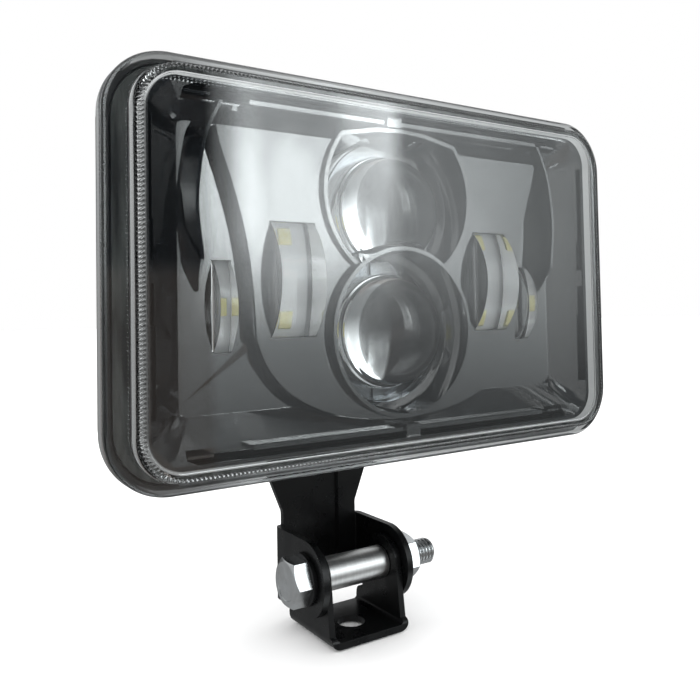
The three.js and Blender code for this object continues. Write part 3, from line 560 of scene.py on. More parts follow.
def platform_half(spread):
    """Right half of the shield's outline, from the top down, widened by spread."""
    return [
        (54.4 + spread, 36.2),
        (53.6 + spread, 32),
        (49.6 + spread, 20),
        (46.6 + spread, 8),
        (45.0 + spread, -4),
        (44.4 + spread, -16),
        (41.6 + spread * 1.4, -23 - spread * 0.4),
        (36.6 + spread * 1.6, -29 - spread * 0.9),
        (29.6 + spread * 1.5, -33.6 - spread * 1.2),
        (20.5 + spread, -37 - spread * 1.5),
        (10.3 + spread * 0.4, -38.8 - spread * 1.7),
    ]


def curved(points, steps):
    """A smooth curve through points."""
    out = []
    for i in range(len(points) - 1):
        p0 = Vector(points[max(i - 1, 0)])
        p1, p2 = Vector(points[i]), Vector(points[i + 1])
        p3 = Vector(points[min(i + 2, len(points) - 1)])
        for k in range(steps):
            t = k / steps
            out.append(tuple(0.5 * (2 * p1 + (p2 - p0) * t
                                    + (2 * p0 - 5 * p1 + 4 * p2 - p3) * t ** 2
                                    + (3 * p1 - p0 - 3 * p2 + p3) * t ** 3)))
    out.append(tuple(points[-1]))
    return out


def platform_outline(spread):
    """The whole shield: right side, rounded bottom, left side."""
    right = platform_half(spread)
    low = [(0, -39.4 - spread * 1.8)]
    left = [(-x, z) for x, z in reversed(right)]
    side = curved(right[:6], 3)
    bottom = curved(right[5:] + low + left[:-5], 3)
    return side[:-1] + bottom[:-1] + curved(left[-6:], 3)


def platform():
    """Raised shield with sloping sides."""
    return loft([[(x, y, z) for x, z in platform_outline(spread)]
                 for y, spread in [(PLATFORM_Y, 0.0), (FLOOR_Y + 0.4, 1.1), (PLATFORM_BACK, 1.1)]])


def blade(side):
    """Crescent fin whose outer face slopes down to the floor; it runs out at its lower end."""
    front = curved([(54.3, 41.6), (57.7, 34.8), (59.5, 28.0), (60.6, 19.0), (60.5, 13.0),
                    (59.7, 6.0), (59.2, 0.6), (58.3, -4.2)], 4)
    base = curved([(55.6, 41.8), (60.6, 35.2), (61.9, 28.0), (62.6, 20.0), (62.2, 12.0),
                   (60.6, 5.1), (59.4, 0.2), (58.4, -4.4)], 4)
    rings = []
    for i, ((x, z), (base_x, base_z)) in enumerate(zip(front, base)):
        left = (len(front) - 1 - i) / (len(front) - 1)
        full = min(1.0, 0.15 + 4 * left)
        crest = FLOOR_Y - (FLOOR_Y - BLADE_CREST) * full
        rings.append([
            (side * x, crest, z),
            (side * base_x, FLOOR_Y + 0.6, base_z),
            (side * (x - 1.6 * full), FLOOR_Y + 0.6, z),
            (side * (x - 0.9 * full), crest, z),
        ])
    return loft(rings)


def upper_collar_outline(radius, centre_z, top_z):
    """A circle cut off at the top by a slightly raised edge."""
    shoulder = top_z - 2.6 - centre_z
    edge = degrees(asin(min(shoulder / radius, 0.98)))
    sides = arc(0, centre_z, radius, 180 - edge, 360 + edge, 64)
    return sides + [(radius * 0.33, top_z - 0.4), (0, top_z), (-radius * 0.33, top_z - 0.4)]


def upper_pocket(grow, start_y):
    """Narrowing hollow behind the upper collar, or the shell round it if grow is its wall."""
    mouth = upper_collar_outline(UPPER_COLLAR - COLLAR_LIP + grow, UPPER_COLLAR_Z,
                                 UPPER_COLLAR_TOP - COLLAR_LIP + grow)
    end = upper_collar_outline(POCKET_END + grow, UPPER_Z, UPPER_Z + POCKET_END + grow)
    return loft([[(x, start_y, z) for x, z in mouth],
                 [(x, POCKET_END_Y, z) for x, z in end]])


def lower_pocket(grow, start_y):
    """Narrowing hollow behind the lower collar, or the shell round it if grow is its wall."""
    start = LOWER_COLLAR - COLLAR_LIP + grow
    return turned([(AXIS, start_y), (start, start_y), (POCKET_END + grow, POCKET_END_Y),
                   (AXIS, POCKET_END_Y)], 0, LOWER_Z)


def optic_window(optic, side):
    """Tool for the window that a side optic looks through."""
    half_x = optic["width"] / 2 + OPTIC_CLEARANCE
    half_z = optic["height"] / 2 + OPTIC_CLEARANCE
    x = side * optic["x"]
    return box(x - half_x, x + half_x, 0, POCKET_END_Y, optic["z"] - half_z, optic["z"] + half_z)


def trough(side):
    """Stepped channel between the sloping wall and the rim, above or below."""
    outline = rounded_outline([
        (-63.5, 41.2), (-50.0, 41.2), (-50.0, 40.3), (-46.4, 40.3), (-46.4, 40.8),
        (62.5, 40.8), (62.5, 43.8), (60.5, 44.4), (-61.0, 44.4), (-63.5, 43.4)], 0.3)
    return prism([(x, side * z) for x, z in outline][::side], TOOL_FRONT, TROUGH_FLOOR)


def side_trough(side):
    """Stepped channel along the left or right edge, nearly closed by a tab in the middle."""
    outline = [(70.4, -33.5), (72.4, -33.5), (72.4, 36.0), (71.2, 36.0), (71.2, 12.0),
               (70.8, 12.0), (70.8, 2.6), (72.0, 2.6), (72.0, -2.6), (70.8, -2.6),
               (70.8, -12.0), (70.4, -12.0)]
    return prism([(side * x, z) for x, z in outline], TOOL_FRONT, SIDE_TROUGH_FLOOR)


def ridges(side):
    """Bars that stand in the channel, and the tab across its middle."""
    tab = -2.2 * side
    bars = [(-46.0, 54.0, 3.0, 41.9, 43.0),
            (-63.0, -56.5, 2.6, 42.6, 43.3),
            (56.5, 62.6, 3.0, 41.9, 42.6),
            (tab - 2.4, tab + 2.4, 2.2, 41.2, 44.6)]
    return [box(x0, x1, front, RIDGE_BACK, *sorted((side * inner, side * outer)))
            for x0, x1, front, inner, outer in bars]


def corner_rib(side_x, side_z):
    """Raised bar with round ends on a corner facet."""
    end_a = Vector((62.3 * side_x, 7.0, 35.2 * side_z + FLOOR_SHIFT))
    end_b = Vector((70.0 * side_x, 2.0, 42.0 * side_z))
    along = (end_b - end_a).normalized()
    across = Vector((side_x, 0, -side_z)) * 0.7071
    rise = along.cross(across)
    if rise.y > 0:
        rise.negate()
    rings = []
    for i in range(17):
        t = i / 16
        centre = end_a.lerp(end_b, t)
        swell = sqrt(max(1 - (2 * t - 1) ** 8, 0.02))
        ring = []
        for k in range(12):
            turn = 2 * pi * k / 12
            ring.append(tuple(centre + across * (1.7 * swell * cos(turn))
                              + rise * (0.75 * swell * sin(turn))))
        rings.append(ring)
    return loft(rings)


def bezel():
    """The tray with everything that stands on it or is cut into it, in one moulding."""
    body = bezel_tray()
    body = cut(body, trough(1), trough(-1), side_trough(1), side_trough(-1))
    body = add(body, platform(), blade(1), blade(-1))
    body = add(body, *ridges(1), *ridges(-1))
    body = add(body, *[corner_rib(sx, sz) for sx in (1, -1) for sz in (1, -1)])
    upper_rim = prism(upper_collar_outline(UPPER_COLLAR, UPPER_COLLAR_Z, UPPER_COLLAR_TOP),
                      COLLAR_RIM_UPPER, FLOOR_Y + 1)
    body = add(body, upper_rim, upper_pocket(COLLAR_LIP, FLOOR_Y + 0.5))
    body = cut(body, upper_pocket(0, 2.5))
    lower_rim = turned([(AXIS, COLLAR_RIM_LOWER), (LOWER_COLLAR, COLLAR_RIM_LOWER),
                        (LOWER_COLLAR + 0.8, FLOOR_Y + 1), (AXIS, FLOOR_Y + 1)], 0, LOWER_Z)
    body = add(body, lower_rim, lower_pocket(COLLAR_LIP, FLOOR_Y + 0.5))
    body = cut(body, lower_pocket(0, 1.5),
               *[optic_window(o, s) for o in (INNER_OPTIC, OUTER_OPTIC) for s in (1, -1)])
    soften(body, 0.28, 2, 28)
    return lamp_piece(body, "bezel_looks", LOOK["black_gloss"], ["bezel"], 30)


# ------------------------------------------------------------------ optics

LENS_RADIUS = 15.1
LENS_APEX_Y = -1.5
LENS_SHOULDER_Y = 8.0
LENS_FLANGE = 20.3
LENS_FLANGE_Y = 11.6
LENS_BACK_Y = 18.0
LENS_STEPS = 128
SLOT_OFFSET = 5.2
SLOT_HALF = 0.4
CUP = {"front": 19.2, "back": 29.6, "mouth": 17.6, "throat": 7.6, "wall": 1.4, "bend": 0.86}
RING = {"inner": 15.6, "outer": 20.4}


def lens_profile():
    """Elliptic dome, a short neck with a bead, and a thick flange."""
    rise = LENS_SHOULDER_Y - LENS_APEX_Y
    profile = [(AXIS, LENS_APEX_Y)]
    for i in range(1, 25):
        turn = pi / 2 * i / 24
        profile.append((LENS_RADIUS * sin(turn), LENS_SHOULDER_Y - rise * cos(turn)))
    return profile + [
        (LENS_RADIUS, LENS_FLANGE_Y - 1.7),
        (LENS_RADIUS + 0.35, LENS_FLANGE_Y - 1.6),
        (LENS_RADIUS + 0.7, LENS_FLANGE_Y - 1.35),
        (LENS_RADIUS + 0.85, LENS_FLANGE_Y - 1.0),
        (LENS_RADIUS + 0.9, LENS_FLANGE_Y - 0.6),
        (LENS_RADIUS + 1.0, LENS_FLANGE_Y - 0.25),
        (LENS_RADIUS + 1.4, LENS_FLANGE_Y),
        (LENS_FLANGE - 0.3, LENS_FLANGE_Y),
        (LENS_FLANGE, LENS_FLANGE_Y + 0.3),
        (LENS_FLANGE, LENS_BACK_Y - 0.3),
        (LENS_FLANGE - 0.3, LENS_BACK_Y),
        (AXIS, LENS_BACK_Y),
    ]


def lower_lens():
    """Projector lens with four pairs of slots in its flange."""
    body = turned(lens_profile(), 0, LOWER_Z, LENS_STEPS)
    slots = []
    for turn in (0, 90, 180, 270):
        for offset in (-SLOT_OFFSET, SLOT_OFFSET):
            slot = box(offset - SLOT_HALF, offset + SLOT_HALF, LENS_FLANGE_Y - 0.5,
                       LENS_FLANGE_Y + 0.9, LENS_RADIUS + 1, LENS_FLANGE + 1)
            slot.data.transform(Matrix.Translation((0, 0, LOWER_Z))
                                @ Matrix.Rotation(radians(turn), 4, "Y"))
            slots.append(slot)
    return lamp_piece(cut(body, *slots), "lower_lens_looks",
                      LOOK["clear_optic"], ["lower_projector_lens"], 40)


def lower_clearance():
    """Tool that trims the upper projector where the lower collar passes."""
    return rod(LOWER_COLLAR + 1.2, -4, 34, 0, LOWER_Z, LENS_STEPS)


def upper_lens():
    """The same lens, cut off at the bottom by the lower collar."""
    body = cut(turned(lens_profile(), 0, UPPER_Z, LENS_STEPS), lower_clearance())
    return lamp_piece(body, "upper_lens_looks", LOOK["clear_optic"],
                      ["upper_projector_lens"], 40)


def reflector(z, label, trimmed):
    """Satin cup behind a projector lens, and the bright ring around its mouth."""
    front, back, mouth, throat, wall, bend = CUP.values()
    outer, inner = [], []
    for i in range(13):
        t = i / 12
        swell = (sqrt(1 - t * bend) - sqrt(1 - bend)) / (1 - sqrt(1 - bend))
        radius = throat + (mouth - throat) * swell
        inner.append((radius, front + (back - front) * t))
        outer.append((radius + wall, front + (back - front) * t))
    cup = turned(outer + inner[::-1] + [outer[0]], 0, z, 96)
    ring = turned([(RING["inner"], front - 0.55), (RING["outer"], front - 0.35),
                   (RING["outer"], front - 0.05), (RING["inner"], front - 0.05),
                   (RING["inner"], front - 0.55)], 0, z, 96)
    if trimmed:
        cup = cut(cup, lower_clearance())
        ring = cut(ring, lower_clearance())
    lamp_piece(cup, label + "_reflector_looks", LOOK["satin_chrome"],
               [label + "_reflector"], 30)
    lamp_piece(ring, label + "_reflector_ring", LOOK["chrome"], (), 30)


def side_optic(optic, side, name, node):
    """Slice of a thick convex lens, with an arc as its front."""
    half = optic["height"] / 2
    sagitta = optic["seat"] - optic["apex"]
    radius = (half * half + sagitta * sagitta) / (2 * sagitta)
    reach = degrees(asin(half / radius))
    centre_y = optic["apex"] + radius
    front = arc(centre_y, optic["z"], radius, 180 + reach, 180 - reach, 48)
    outline = front + [(OPTIC_BACK, optic["z"] + half), (OPTIC_BACK, optic["z"] - half)]
    x = side * optic["x"]
    body = prism(outline, x - optic["width"] / 2, x + optic["width"] / 2, "x")
    soften(body, 0.18, 2, 40)
    return lamp_piece(body, name, LOOK["clear_optic"], [node], 35)


# ------------------------------------------------------------------ bracket

SHEET = 2.0
BORE_RADIUS = 4.06
ARM_OUTER = 15.9                # outer half width across the arm's ears
ARM_REAR = 19.7
ARM_EAR_RADIUS = 11.2
ARM_EAR_FRONT = -14.0           # beyond the ear's round front
ARM_BEND = 2.6
ARM_TOP = 23.0
ARM_NECK = 13.6
SCREW_HOLE_RADIUS = 2.7
SCREW_PLACES = [(x, z) for x in (-15, 15) for z in (-7, -27)]
RIB = {"half_x": 7.2, "half_z": 32.7, "corner": 4.0, "z": 48.3}
FOOT_EAR_RADIUS = 8.2
FOOT_BEND = 3.2
FOOT_HOLE_RADIUS = 4.25


def rib(grow, y):
    """Ring of the arm's stiffening rib at one depth."""
    outline = rounded_rectangle(RIB["half_x"] + grow, RIB["half_z"] + grow,
                                RIB["corner"] + grow, RIB["z"])
    return [(x, y, z) for x, z in outline]


def pivot_bore():
    """Tool for the bolt's bore through both ears."""
    return rod(BORE_RADIUS, -TOOL_REACH, TOOL_REACH, 0, PIVOT_Z, 48, "x")


def arm_ears():
    """U section of bent sheet, cut to round ears in the side view."""
    outer, rear = ARM_OUTER, ARM_REAR
    inner, front = outer - SHEET, rear - SHEET
    low, high = PIVOT_Z - ARM_EAR_RADIUS, PIVOT_Z + ARM_EAR_RADIUS
    section = rounded_outline([
        (-outer, ARM_EAR_FRONT), (-outer, rear, ARM_BEND), (outer, rear, ARM_BEND),
        (outer, ARM_EAR_FRONT), (inner, ARM_EAR_FRONT), (inner, front, ARM_BEND - SHEET),
        (-inner, front, ARM_BEND - SHEET), (-inner, ARM_EAR_FRONT)], steps=8)
    side = arc(0, PIVOT_Z, ARM_EAR_RADIUS, 90, 270, 48) + [(rear + 1, low - 1), (rear + 1, high + 1)]
    return common(prism(section, low, high, "z"), prism(side, -outer - 1, outer + 1, "x"))


def arm_plate():
    """Flat plate that narrows to a neck above the ears."""
    low, high = PIVOT_Z - ARM_EAR_RADIUS, PIVOT_Z + ARM_EAR_RADIUS
    right = [(ARM_NECK, low + 3, 0.5), (ARM_NECK, high + 4.2, 4), (ARM_TOP - 0.4, LAMP_Z - 51, 4),
             (ARM_TOP, LAMP_Z - 48, 2), (ARM_TOP, LAMP_Z + 2, 3)]
    left = [(-x, z, radius) for x, z, radius in reversed(right)]
    return prism(rounded_outline(right + left, steps=6), ARM_REAR - SHEET, ARM_REAR)


def arm_bracket():
    """One pressing: plate behind the lamp, a stiffening rib, two ears bent forward."""
    front, rear = ARM_REAR - SHEET, ARM_REAR
    body = add(arm_ears(), arm_plate())
    raised = loft([rib(0.8, rear - 0.3), rib(-0.6, rear + 1.2)])
    sunk = loft([rib(0, front - 0.3), rib(-0.7, front + 1.3)])
    bore = pivot_bore()
    holes = [rod(SCREW_HOLE_RADIUS, front - 2, rear + 4, x, LAMP_Z + z, 32)
             for x, z in SCREW_PLACES]
    body = cut(add(body, raised), sunk, bore, *holes)
    soften(body, 0.35, 3, 35)
    return piece(body, "arm_bracket_looks", "lamp_head", LOOK["black_steel"],
                 OBJECT_FRAME, ["arm_bracket"], 35)


def foot_bracket():
    """A U bent from sheet: flat base with a fixing hole, two ears for the pivot."""
    outer = foot_high.x / MM
    inner = outer - SHEET
    front, back = foot_low.y / MM, foot_high.y / MM
    top = PIVOT_Z + FOOT_EAR_RADIUS
    section = rounded_outline([
        (-outer, top), (-outer, 0, FOOT_BEND), (outer, 0, FOOT_BEND), (outer, top),
        (inner, top), (inner, SHEET, FOOT_BEND - SHEET),
        (-inner, SHEET, FOOT_BEND - SHEET), (-inner, top)], steps=8)
    side = arc(0, PIVOT_Z, FOOT_EAR_RADIUS, 20, 160, 48) + rounded_outline([
        (front, 3.2, 2.0), (front, -1), (back, -1), (back, 7, 3.0)], steps=5)
    body = common(prism(section, front, back, "y"), prism(side, -outer - 1, outer + 1, "x"))
    hole = prism(arc(0, 0, FOOT_HOLE_RADIUS, 0, 360 - 360 / 64, 63), -3, 5, "z")
    body = cut(body, pivot_bore(), hole)
    soften(body, 0.3, 3, 35)
    return piece(body, "foot_bracket_looks", "foot", LOOK["black_steel"],
                 OBJECT_FRAME, ["foot_bracket"], 35)


def spacer_tube():
    """Plain tube between the foot's ears, with chamfered ends."""
    half = tube_high.x / MM
    body = turned([
        (4.15, -half + 0.3), (4.45, -half), (4.75, -half), (5.0, -half + 0.25),
        (5.0, half - 0.25), (4.75, half), (4.45, half), (4.15, half - 0.3),
        (4.15, -half + 0.3)], 0, PIVOT_Z, 96, "x")
    return piece(body, "spacer_tube_looks", "foot", LOOK["bright_steel"],
                 OBJECT_FRAME, ["spacer_tube"], 35)


# ------------------------------------------------------------------ fasteners

FLATS = 13.0                    # across the flats of the bolt's head and the nut
THREAD_RADIUS = 4.0
THREAD_PITCH = 1.25
THREAD_DEPTH = 0.62
THREAD_START = 15.9
SHANK_END = 15.6
COUNTERSINK = 4.9
DISH_RADIUS = 4.9


def hexagon(flats, turn):
    """Hexagon round the pivot's axis; turn is in degrees."""
    return [(p, q + PIVOT_Z) for p, q in arc(0, 0, flats / sqrt(3), turn, turn + 300, 5)]


def hex_body(x0, x1, turn, chamfers):
    """A hexagon whose corners are turned down to a cone at the ends."""
    flat, wide = FLATS * 0.475, FLATS * 0.6
    slope = (wide - flat) * 0.5774          # a cone of 30 degrees
    start, end = chamfers
    profile = [(AXIS, x0), (flat if start else wide, x0)]
    if start:
        profile.append((wide, x0 + slope))
    if end:
        profile.append((wide, x1 - slope))
    profile += [(flat if end else wide, x1), (AXIS, x1)]
    body = prism(hexagon(FLATS, turn), x0, x1, "x")
    return common(body, turned(profile, 0, PIVOT_Z, 96, "x"))


def thread_ring(x, radii):
    """One ring of points round the pivot's axis, with a radius for each."""
    turns = [2 * pi * i / len(radii) for i in range(len(radii))]
    return [(x, r * cos(t), PIVOT_Z + r * sin(t)) for r, t in zip(radii, turns)]


def threaded_rod(x0, x1):
    """A rod with a single-start thread and a chamfered end."""
    around, per_turn = 48, 12
    count = ceil((x1 - x0) / THREAD_PITCH * per_turn)
    rings = [thread_ring(x0 - 1.2, [radius] * around) for radius in (AXIS, THREAD_RADIUS)]
    for k in range(count + 1):
        x = x0 + (x1 - x0) * k / count
        fade = min(1.0, (x - x0) / (0.8 * THREAD_PITCH))
        chamfer = THREAD_RADIUS - 0.9 + (x1 - x) * 1.1
        radii = []
        for i in range(around):
            phase = ((x - x0) / THREAD_PITCH - i / around) % 1.0
            tooth = max(0.0, min(1.0, 1.35 - abs(phase - 0.5) * 3.4))
            radii.append(min(THREAD_RADIUS - THREAD_DEPTH * fade * (1 - tooth), chamfer))
        rings.append(thread_ring(x, radii))
    return loft(rings)


def pivot_bolt():
    """Hexagon head with a shallow dish, plain shank, and the thread as a piece of its own."""
    low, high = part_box("pivot_bolt")
    washer_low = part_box("head_washer")[0]
    head_x = low.x / MM
    seat = washer_low.x / MM - 0.05
    head = hex_body(head_x, seat, 3, (True, False))
    dish = turned([(AXIS, head_x - 1), (DISH_RADIUS + 0.2, head_x - 1),
                   (DISH_RADIUS, head_x + 0.16), (AXIS, head_x + 0.22)], 0, PIVOT_Z, 96, "x")
    head = cut(head, dish)
    body = add(head, rod(THREAD_RADIUS, seat - 1, SHANK_END, 0, PIVOT_Z, 64, "x"))
    soften(body, 0.16, 2, 28)
    thread = threaded_rod(THREAD_START, high.x / MM)
    piece(body, "pivot_bolt_looks", "foot", LOOK["zinc"], OBJECT_FRAME,
          ["pivot_bolt"], 30)
    piece(thread, "bolt_thread", "foot", LOOK["zinc"], OBJECT_FRAME, (), 45)


def pivot_nut():
    """Hexagon nut with a countersunk bore."""
    low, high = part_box("pivot_nut")
    x0, x1 = low.x / MM, high.x / MM
    body = hex_body(x0, x1, 14, (True, True))
    bore = turned([(AXIS, x0 - 1), (COUNTERSINK, x0 - 1), (BORE_RADIUS, x0 + 0.8),
                   (BORE_RADIUS, x1 - 0.8), (COUNTERSINK, x1 + 1), (AXIS, x1 + 1)],
                  0, PIVOT_Z, 64, "x")
    body = cut(body, bore)
    soften(body, 0.16, 2, 28)
    return piece(body, "pivot_nut_looks", "foot", LOOK["zinc"], OBJECT_FRAME,
                 ["pivot_nut"], 30)


# ------------------------------------------------------------------ the rest, from the CAD

# A node's slot, its finish and the width of its softened edges.
SOFT_COPIES = {
    "housing": ("black_cast", "black_cast", 0.35),
    "lens_gasket": ("black_rubber", "sealant", 0.15),
    "cable_gland": ("black_rubber", "black_rubber", 0.3),
    "vent_plug": ("black_rubber", "black_rubber", 0.25),
    "heat_plate": ("aluminium", "aluminium", 0.2),
    "driver_board": ("green_board", "green_board", 0.1),
}
for place in ("upper", "lower", "left", "right"):
    SOFT_COPIES[place + "_led_board"] = ("white_board", "white_board", 0.1)
for place in ("upper", "lower"):
    SOFT_COPIES[place + "_led"] = ("phosphor", "phosphor", 0.12)
for side_name in ("left", "right"):
    for place in ("top", "bottom", "outer"):
        SOFT_COPIES[f"{side_name}_{place}_led"] = ("phosphor", "phosphor", 0.1)
SOFT_COPIES["head_washer"] = ("black_steel", "black_steel", 0.2)
for number in "1234":
    SOFT_COPIES["arm_washer_" + number] = ("zinc", "zinc", 0.15)
    SOFT_COPIES["arm_screw_" + number] = ("zinc", "zinc", 0.15)


def soft_copies():
    """Each remaining node gets its finish and small radii on its edges."""
    body_of = {child.name: body for body, obj in frame["bodies"].items()
               for child in obj.children if child.type == "MESH"}
    for node, (slot, look, width) in SOFT_COPIES.items():
        obj = soft_copy(node, width)
        piece(obj, node + "_looks", body_of[node], LOOK[look], OBJECT_FRAME, [node], 32)


# ------------------------------------------------------------------ studio

FLOOR_SHEET_HALF = 6.0          # metres, as are the gap and the key light's sizes
FLOOR_GAP = 0.0005
KEY = {"place": (-0.4, -0.5, 1.2), "target": (0, 0, 0.05), "size": (0.9, 0.9), "power": 8}
BOUNCED_LIGHT = (1.7, 1.7, 1.7, 1.0)
BACKDROP = (1.0, 1.0, 1.0, 1.0)
CAMERA_PLACE = (-124.2, -162.9, -10.0)      # millimetres, in the lamp's axes
CAMERA_TURNS = [(-32.915, "Z"), (1.944, "X"), (1.05, "Y"), (90, "X")]
CAMERA_LENS = 38.02
CAMERA_SENSOR = 36.0
CAMERA_SHIFT_Y = -0.0893


class Nodes:
    """Arithmetic in a node tree."""

    def __init__(self, tree):
        self.tree = tree

    def put(self, value, target):
        if isinstance(value, bpy.types.NodeSocket):
            self.tree.links.new(value, target)
        else:
            target.default_value = value

    def math(self, operation, a, b=0.0):
        node = self.tree.nodes.new("ShaderNodeMath")
        node.operation = operation
        self.put(a, node.inputs[0])
        self.put(b, node.inputs[1])
        return node.outputs[0]

    def product(self, first, *others):
        for other in others:
            first = self.math("MULTIPLY", first, other)
        return first

    def total(self, first, *others):
        for other in others:
            first = self.math("ADD", first, other)
        return first

    def step(self, value, start, end, low=0.0, high=1.0):
        """Smooth change from low to high as value goes from start to end."""
        node = self.tree.nodes.new("ShaderNodeMapRange")
        node.interpolation_type = "SMOOTHSTEP"
        self.put(value, node.inputs["Value"])
        for socket, number in (("From Min", start), ("From Max", end),
                               ("To Min", low), ("To Max", high)):
            node.inputs[socket].default_value = number
        return node.outputs[0]

    def blend(self, factor, a, b):
        node = self.tree.nodes.new("ShaderNodeMix")
        node.data_type = "RGBA"
        self.put(factor, node.inputs["Factor"])
        self.put(a, node.inputs["A"])
        self.put(b, node.inputs["B"])
        return node.outputs["Result"]

    def scaled(self, colour, amount):
        node = self.tree.nodes.new("ShaderNodeVectorMath")
        node.operation = "SCALE"
        self.put(colour, node.inputs[0])
        self.put(amount, node.inputs["Scale"])
        return node.outputs[0]


def add_floor():
    """Large pale sheet under the foot; only the camera and diffuse light see it."""
    half = FLOOR_SHEET_HALF
    floor = solid("floor", [(-half, -half, 0), (half, -half, 0), (half, half, 0),
                            (-half, half, 0)], [(0, 1, 2, 3)])
    floor.location.z = foot_low.z - FLOOR_GAP
    paper = (Finish("paper", (0.87, 0.87, 0.87), 0.8)
             .vary_colour(400, (0.86, 0.86, 0.86))
             .vary_roughness(50, 0.75, 0.85)
             .grain(2, 0.02))
    floor.data.materials.append(paper.material)
    floor.visible_glossy = False
    floor.visible_transmission = False


def add_light(name, place, target, size, power):
    """A soft rectangular light, hidden from the camera."""
    data = bpy.data.lights.new(name, "AREA")
    data.shape = "RECTANGLE"
    data.size, data.size_y = size
    data.energy = power
    light = bpy.data.objects.new(name, data)
    bpy.context.scene.collection.objects.link(light)
    light.location = place
    light.rotation_euler = (Vector(target) - Vector(place)).to_track_quat("-Z", "Y").to_euler()
    light.visible_camera = False
    return light


def room(nodes, tree):
    """What gloss and glass see: a bright wall with a window, and a dark wall left of them.

    across and up are slopes seen from the lamp, looking out along its axis. The rest of the
    world is plain, and darker below and behind."""
    direction = tree.nodes.new("ShaderNodeTexCoord").outputs["Generated"]
    split = tree.nodes.new("ShaderNodeSeparateXYZ")
    tree.links.new(direction, split.inputs[0])
    ahead = nodes.math("MAXIMUM", nodes.math("MULTIPLY", split.outputs["Y"], -1.0), 0.05)
    across = nodes.math("DIVIDE", split.outputs["X"], ahead)
    up = nodes.math("DIVIDE", split.outputs["Z"], ahead)
    cloud = tree.nodes.new("ShaderNodeTexNoise")
    cloud.inputs["Scale"].default_value = 9.0
    cloud.inputs["Detail"].default_value = 2.0
    stretched = tree.nodes.new("ShaderNodeMapping")
    stretched.inputs["Scale"].default_value = (1.6, 1.6, 0.6)
    tree.links.new(direction, stretched.inputs["Vector"])
    tree.links.new(stretched.outputs["Vector"], cloud.inputs["Vector"])
    patchy = nodes.step(cloud.outputs["Fac"], 0.35, 0.65, 0.75, 1.2)

    wall = nodes.product(nodes.step(up, -0.30, 0.16, 0.17, 1.05),
                         nodes.step(up, 0.55, 1.3, 1.0, 0.4),
                         nodes.step(across, 1.12, 1.35, 1.0, 0.3))
    edge = nodes.product(nodes.step(across, 0.43, 0.465, 0.0, 0.9),
                         nodes.step(across, 0.475, 0.51, 1.0, 0.0),
                         nodes.step(up, 0.05, 0.17))
    window = nodes.product(
        nodes.step(across, 0.41, 0.48, 0.0, 2.4),
        nodes.step(across, 0.72, 0.77, 1.0, 0.35),
        nodes.step(across, 0.77, 1.10, 1.0, 0.0),
        nodes.step(up, -0.06, 0.16),
        nodes.step(up, 0.45, 0.9, 1.0, 0.0),
        patchy)
    streak = nodes.product(nodes.step(across, 0.60, 0.69, 0.0, 3.0),
                           nodes.step(across, 0.72, 0.77, 1.0, 0.0),
                           nodes.step(up, 0.12, 0.30),
                           nodes.step(up, 0.45, 0.9, 1.0, 0.0))
    desk = nodes.product(nodes.step(up, -1.1, -0.6, 1.3, 0.0),
                         nodes.step(across, 1.3, 2.2, 1.0, 0.1))
    bright = nodes.total(wall, window, streak, desk, edge)
    tint = nodes.blend(nodes.step(up, 0.05, 0.09), (1.0, 0.9, 0.84, 1), (0.8, 0.9, 1.0, 1))
    dark = nodes.scaled(tint, nodes.step(up, 0.05, 0.09, 0.24, 0.06))
    light = nodes.scaled((0.93, 0.98, 1.0), bright)
    front = nodes.blend(nodes.step(across, 0.40, 0.425), dark, light)
    around = nodes.product(nodes.step(split.outputs["Z"], -0.2, 0.8, 0.36, 0.8),
                           nodes.step(split.outputs["Y"], 0.84, 0.95, 1.0, 0.3))
    rest = nodes.scaled((0.97, 0.99, 1.0), around)
    is_front = nodes.math("MULTIPLY", nodes.step(split.outputs["Y"], -0.30, -0.12, 1.0, 0.0),
                          nodes.step(split.outputs["X"], -0.3, -0.05))
    return nodes.blend(is_front, rest, front)


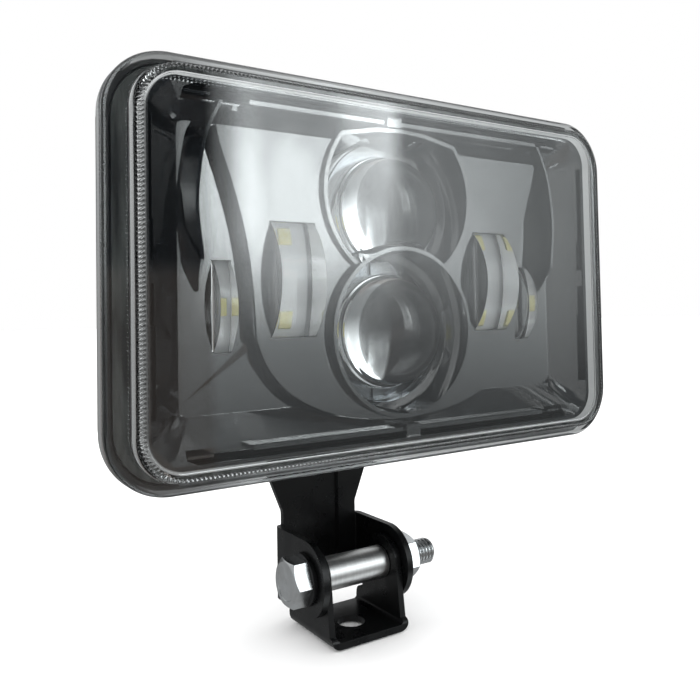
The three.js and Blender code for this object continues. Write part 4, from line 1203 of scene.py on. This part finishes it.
def add_studio():
    """White for the camera, even light for matt surfaces, the room for gloss and glass."""
    world = bpy.data.worlds.new("studio")
    world.use_nodes = True
    tree = world.node_tree
    nodes = Nodes(tree)
    seen = tree.nodes.new("ShaderNodeLightPath")
    lighting = nodes.math("MINIMUM", seen.outputs["Diffuse Depth"], 1.0)
    colour = nodes.blend(seen.outputs["Is Camera Ray"], room(nodes, tree), BACKDROP)
    colour = nodes.blend(lighting, colour, BOUNCED_LIGHT)
    background = tree.nodes["Background"]
    tree.links.new(colour, background.inputs["Color"])
    background.inputs["Strength"].default_value = 1.0
    bpy.context.scene.world = world
    add_floor()
    key = add_light("key", KEY["place"], KEY["target"], KEY["size"], KEY["power"])
    key.visible_glossy = False
    key.visible_transmission = False
    scene = bpy.context.scene
    scene.view_settings.view_transform = "Standard"
    scene.view_settings.look = "None"


def add_camera():
    """Left of the lamp and a little below its middle, as the photo was taken."""
    data = bpy.data.cameras.new("camera")
    data.lens = CAMERA_LENS
    data.sensor_width = CAMERA_SENSOR
    data.shift_y = CAMERA_SHIFT_Y
    data.clip_start = 0.01
    camera = bpy.data.objects.new("camera", data)
    bpy.context.scene.collection.objects.link(camera)
    turn = Matrix.Identity(4)
    for angle, axis in CAMERA_TURNS:
        turn = turn @ Matrix.Rotation(radians(angle), 4, axis)
    x, y, z = CAMERA_PLACE
    place = Vector((x, y + LAMP_Y, z + LAMP_Z)) * MM
    camera.matrix_world = Matrix.Translation(place) @ turn
    bpy.context.scene.camera = camera


# ------------------------------------------------------------------ build

front_lens()
bezel()
lower_lens()
upper_lens()
reflector(UPPER_Z, "upper", True)
reflector(LOWER_Z, "lower", False)
for label, side in (("left", -1), ("right", 1)):
    side_optic(INNER_OPTIC, side, label + "_inner_optic_looks", label + "_inner_optic")
    side_optic(OUTER_OPTIC, side, label + "_outer_optic_looks", label + "_outer_optic")
arm_bracket()
foot_bracket()
spacer_tube()
pivot_bolt()
pivot_nut()
soft_copies()
add_camera()
add_studio()
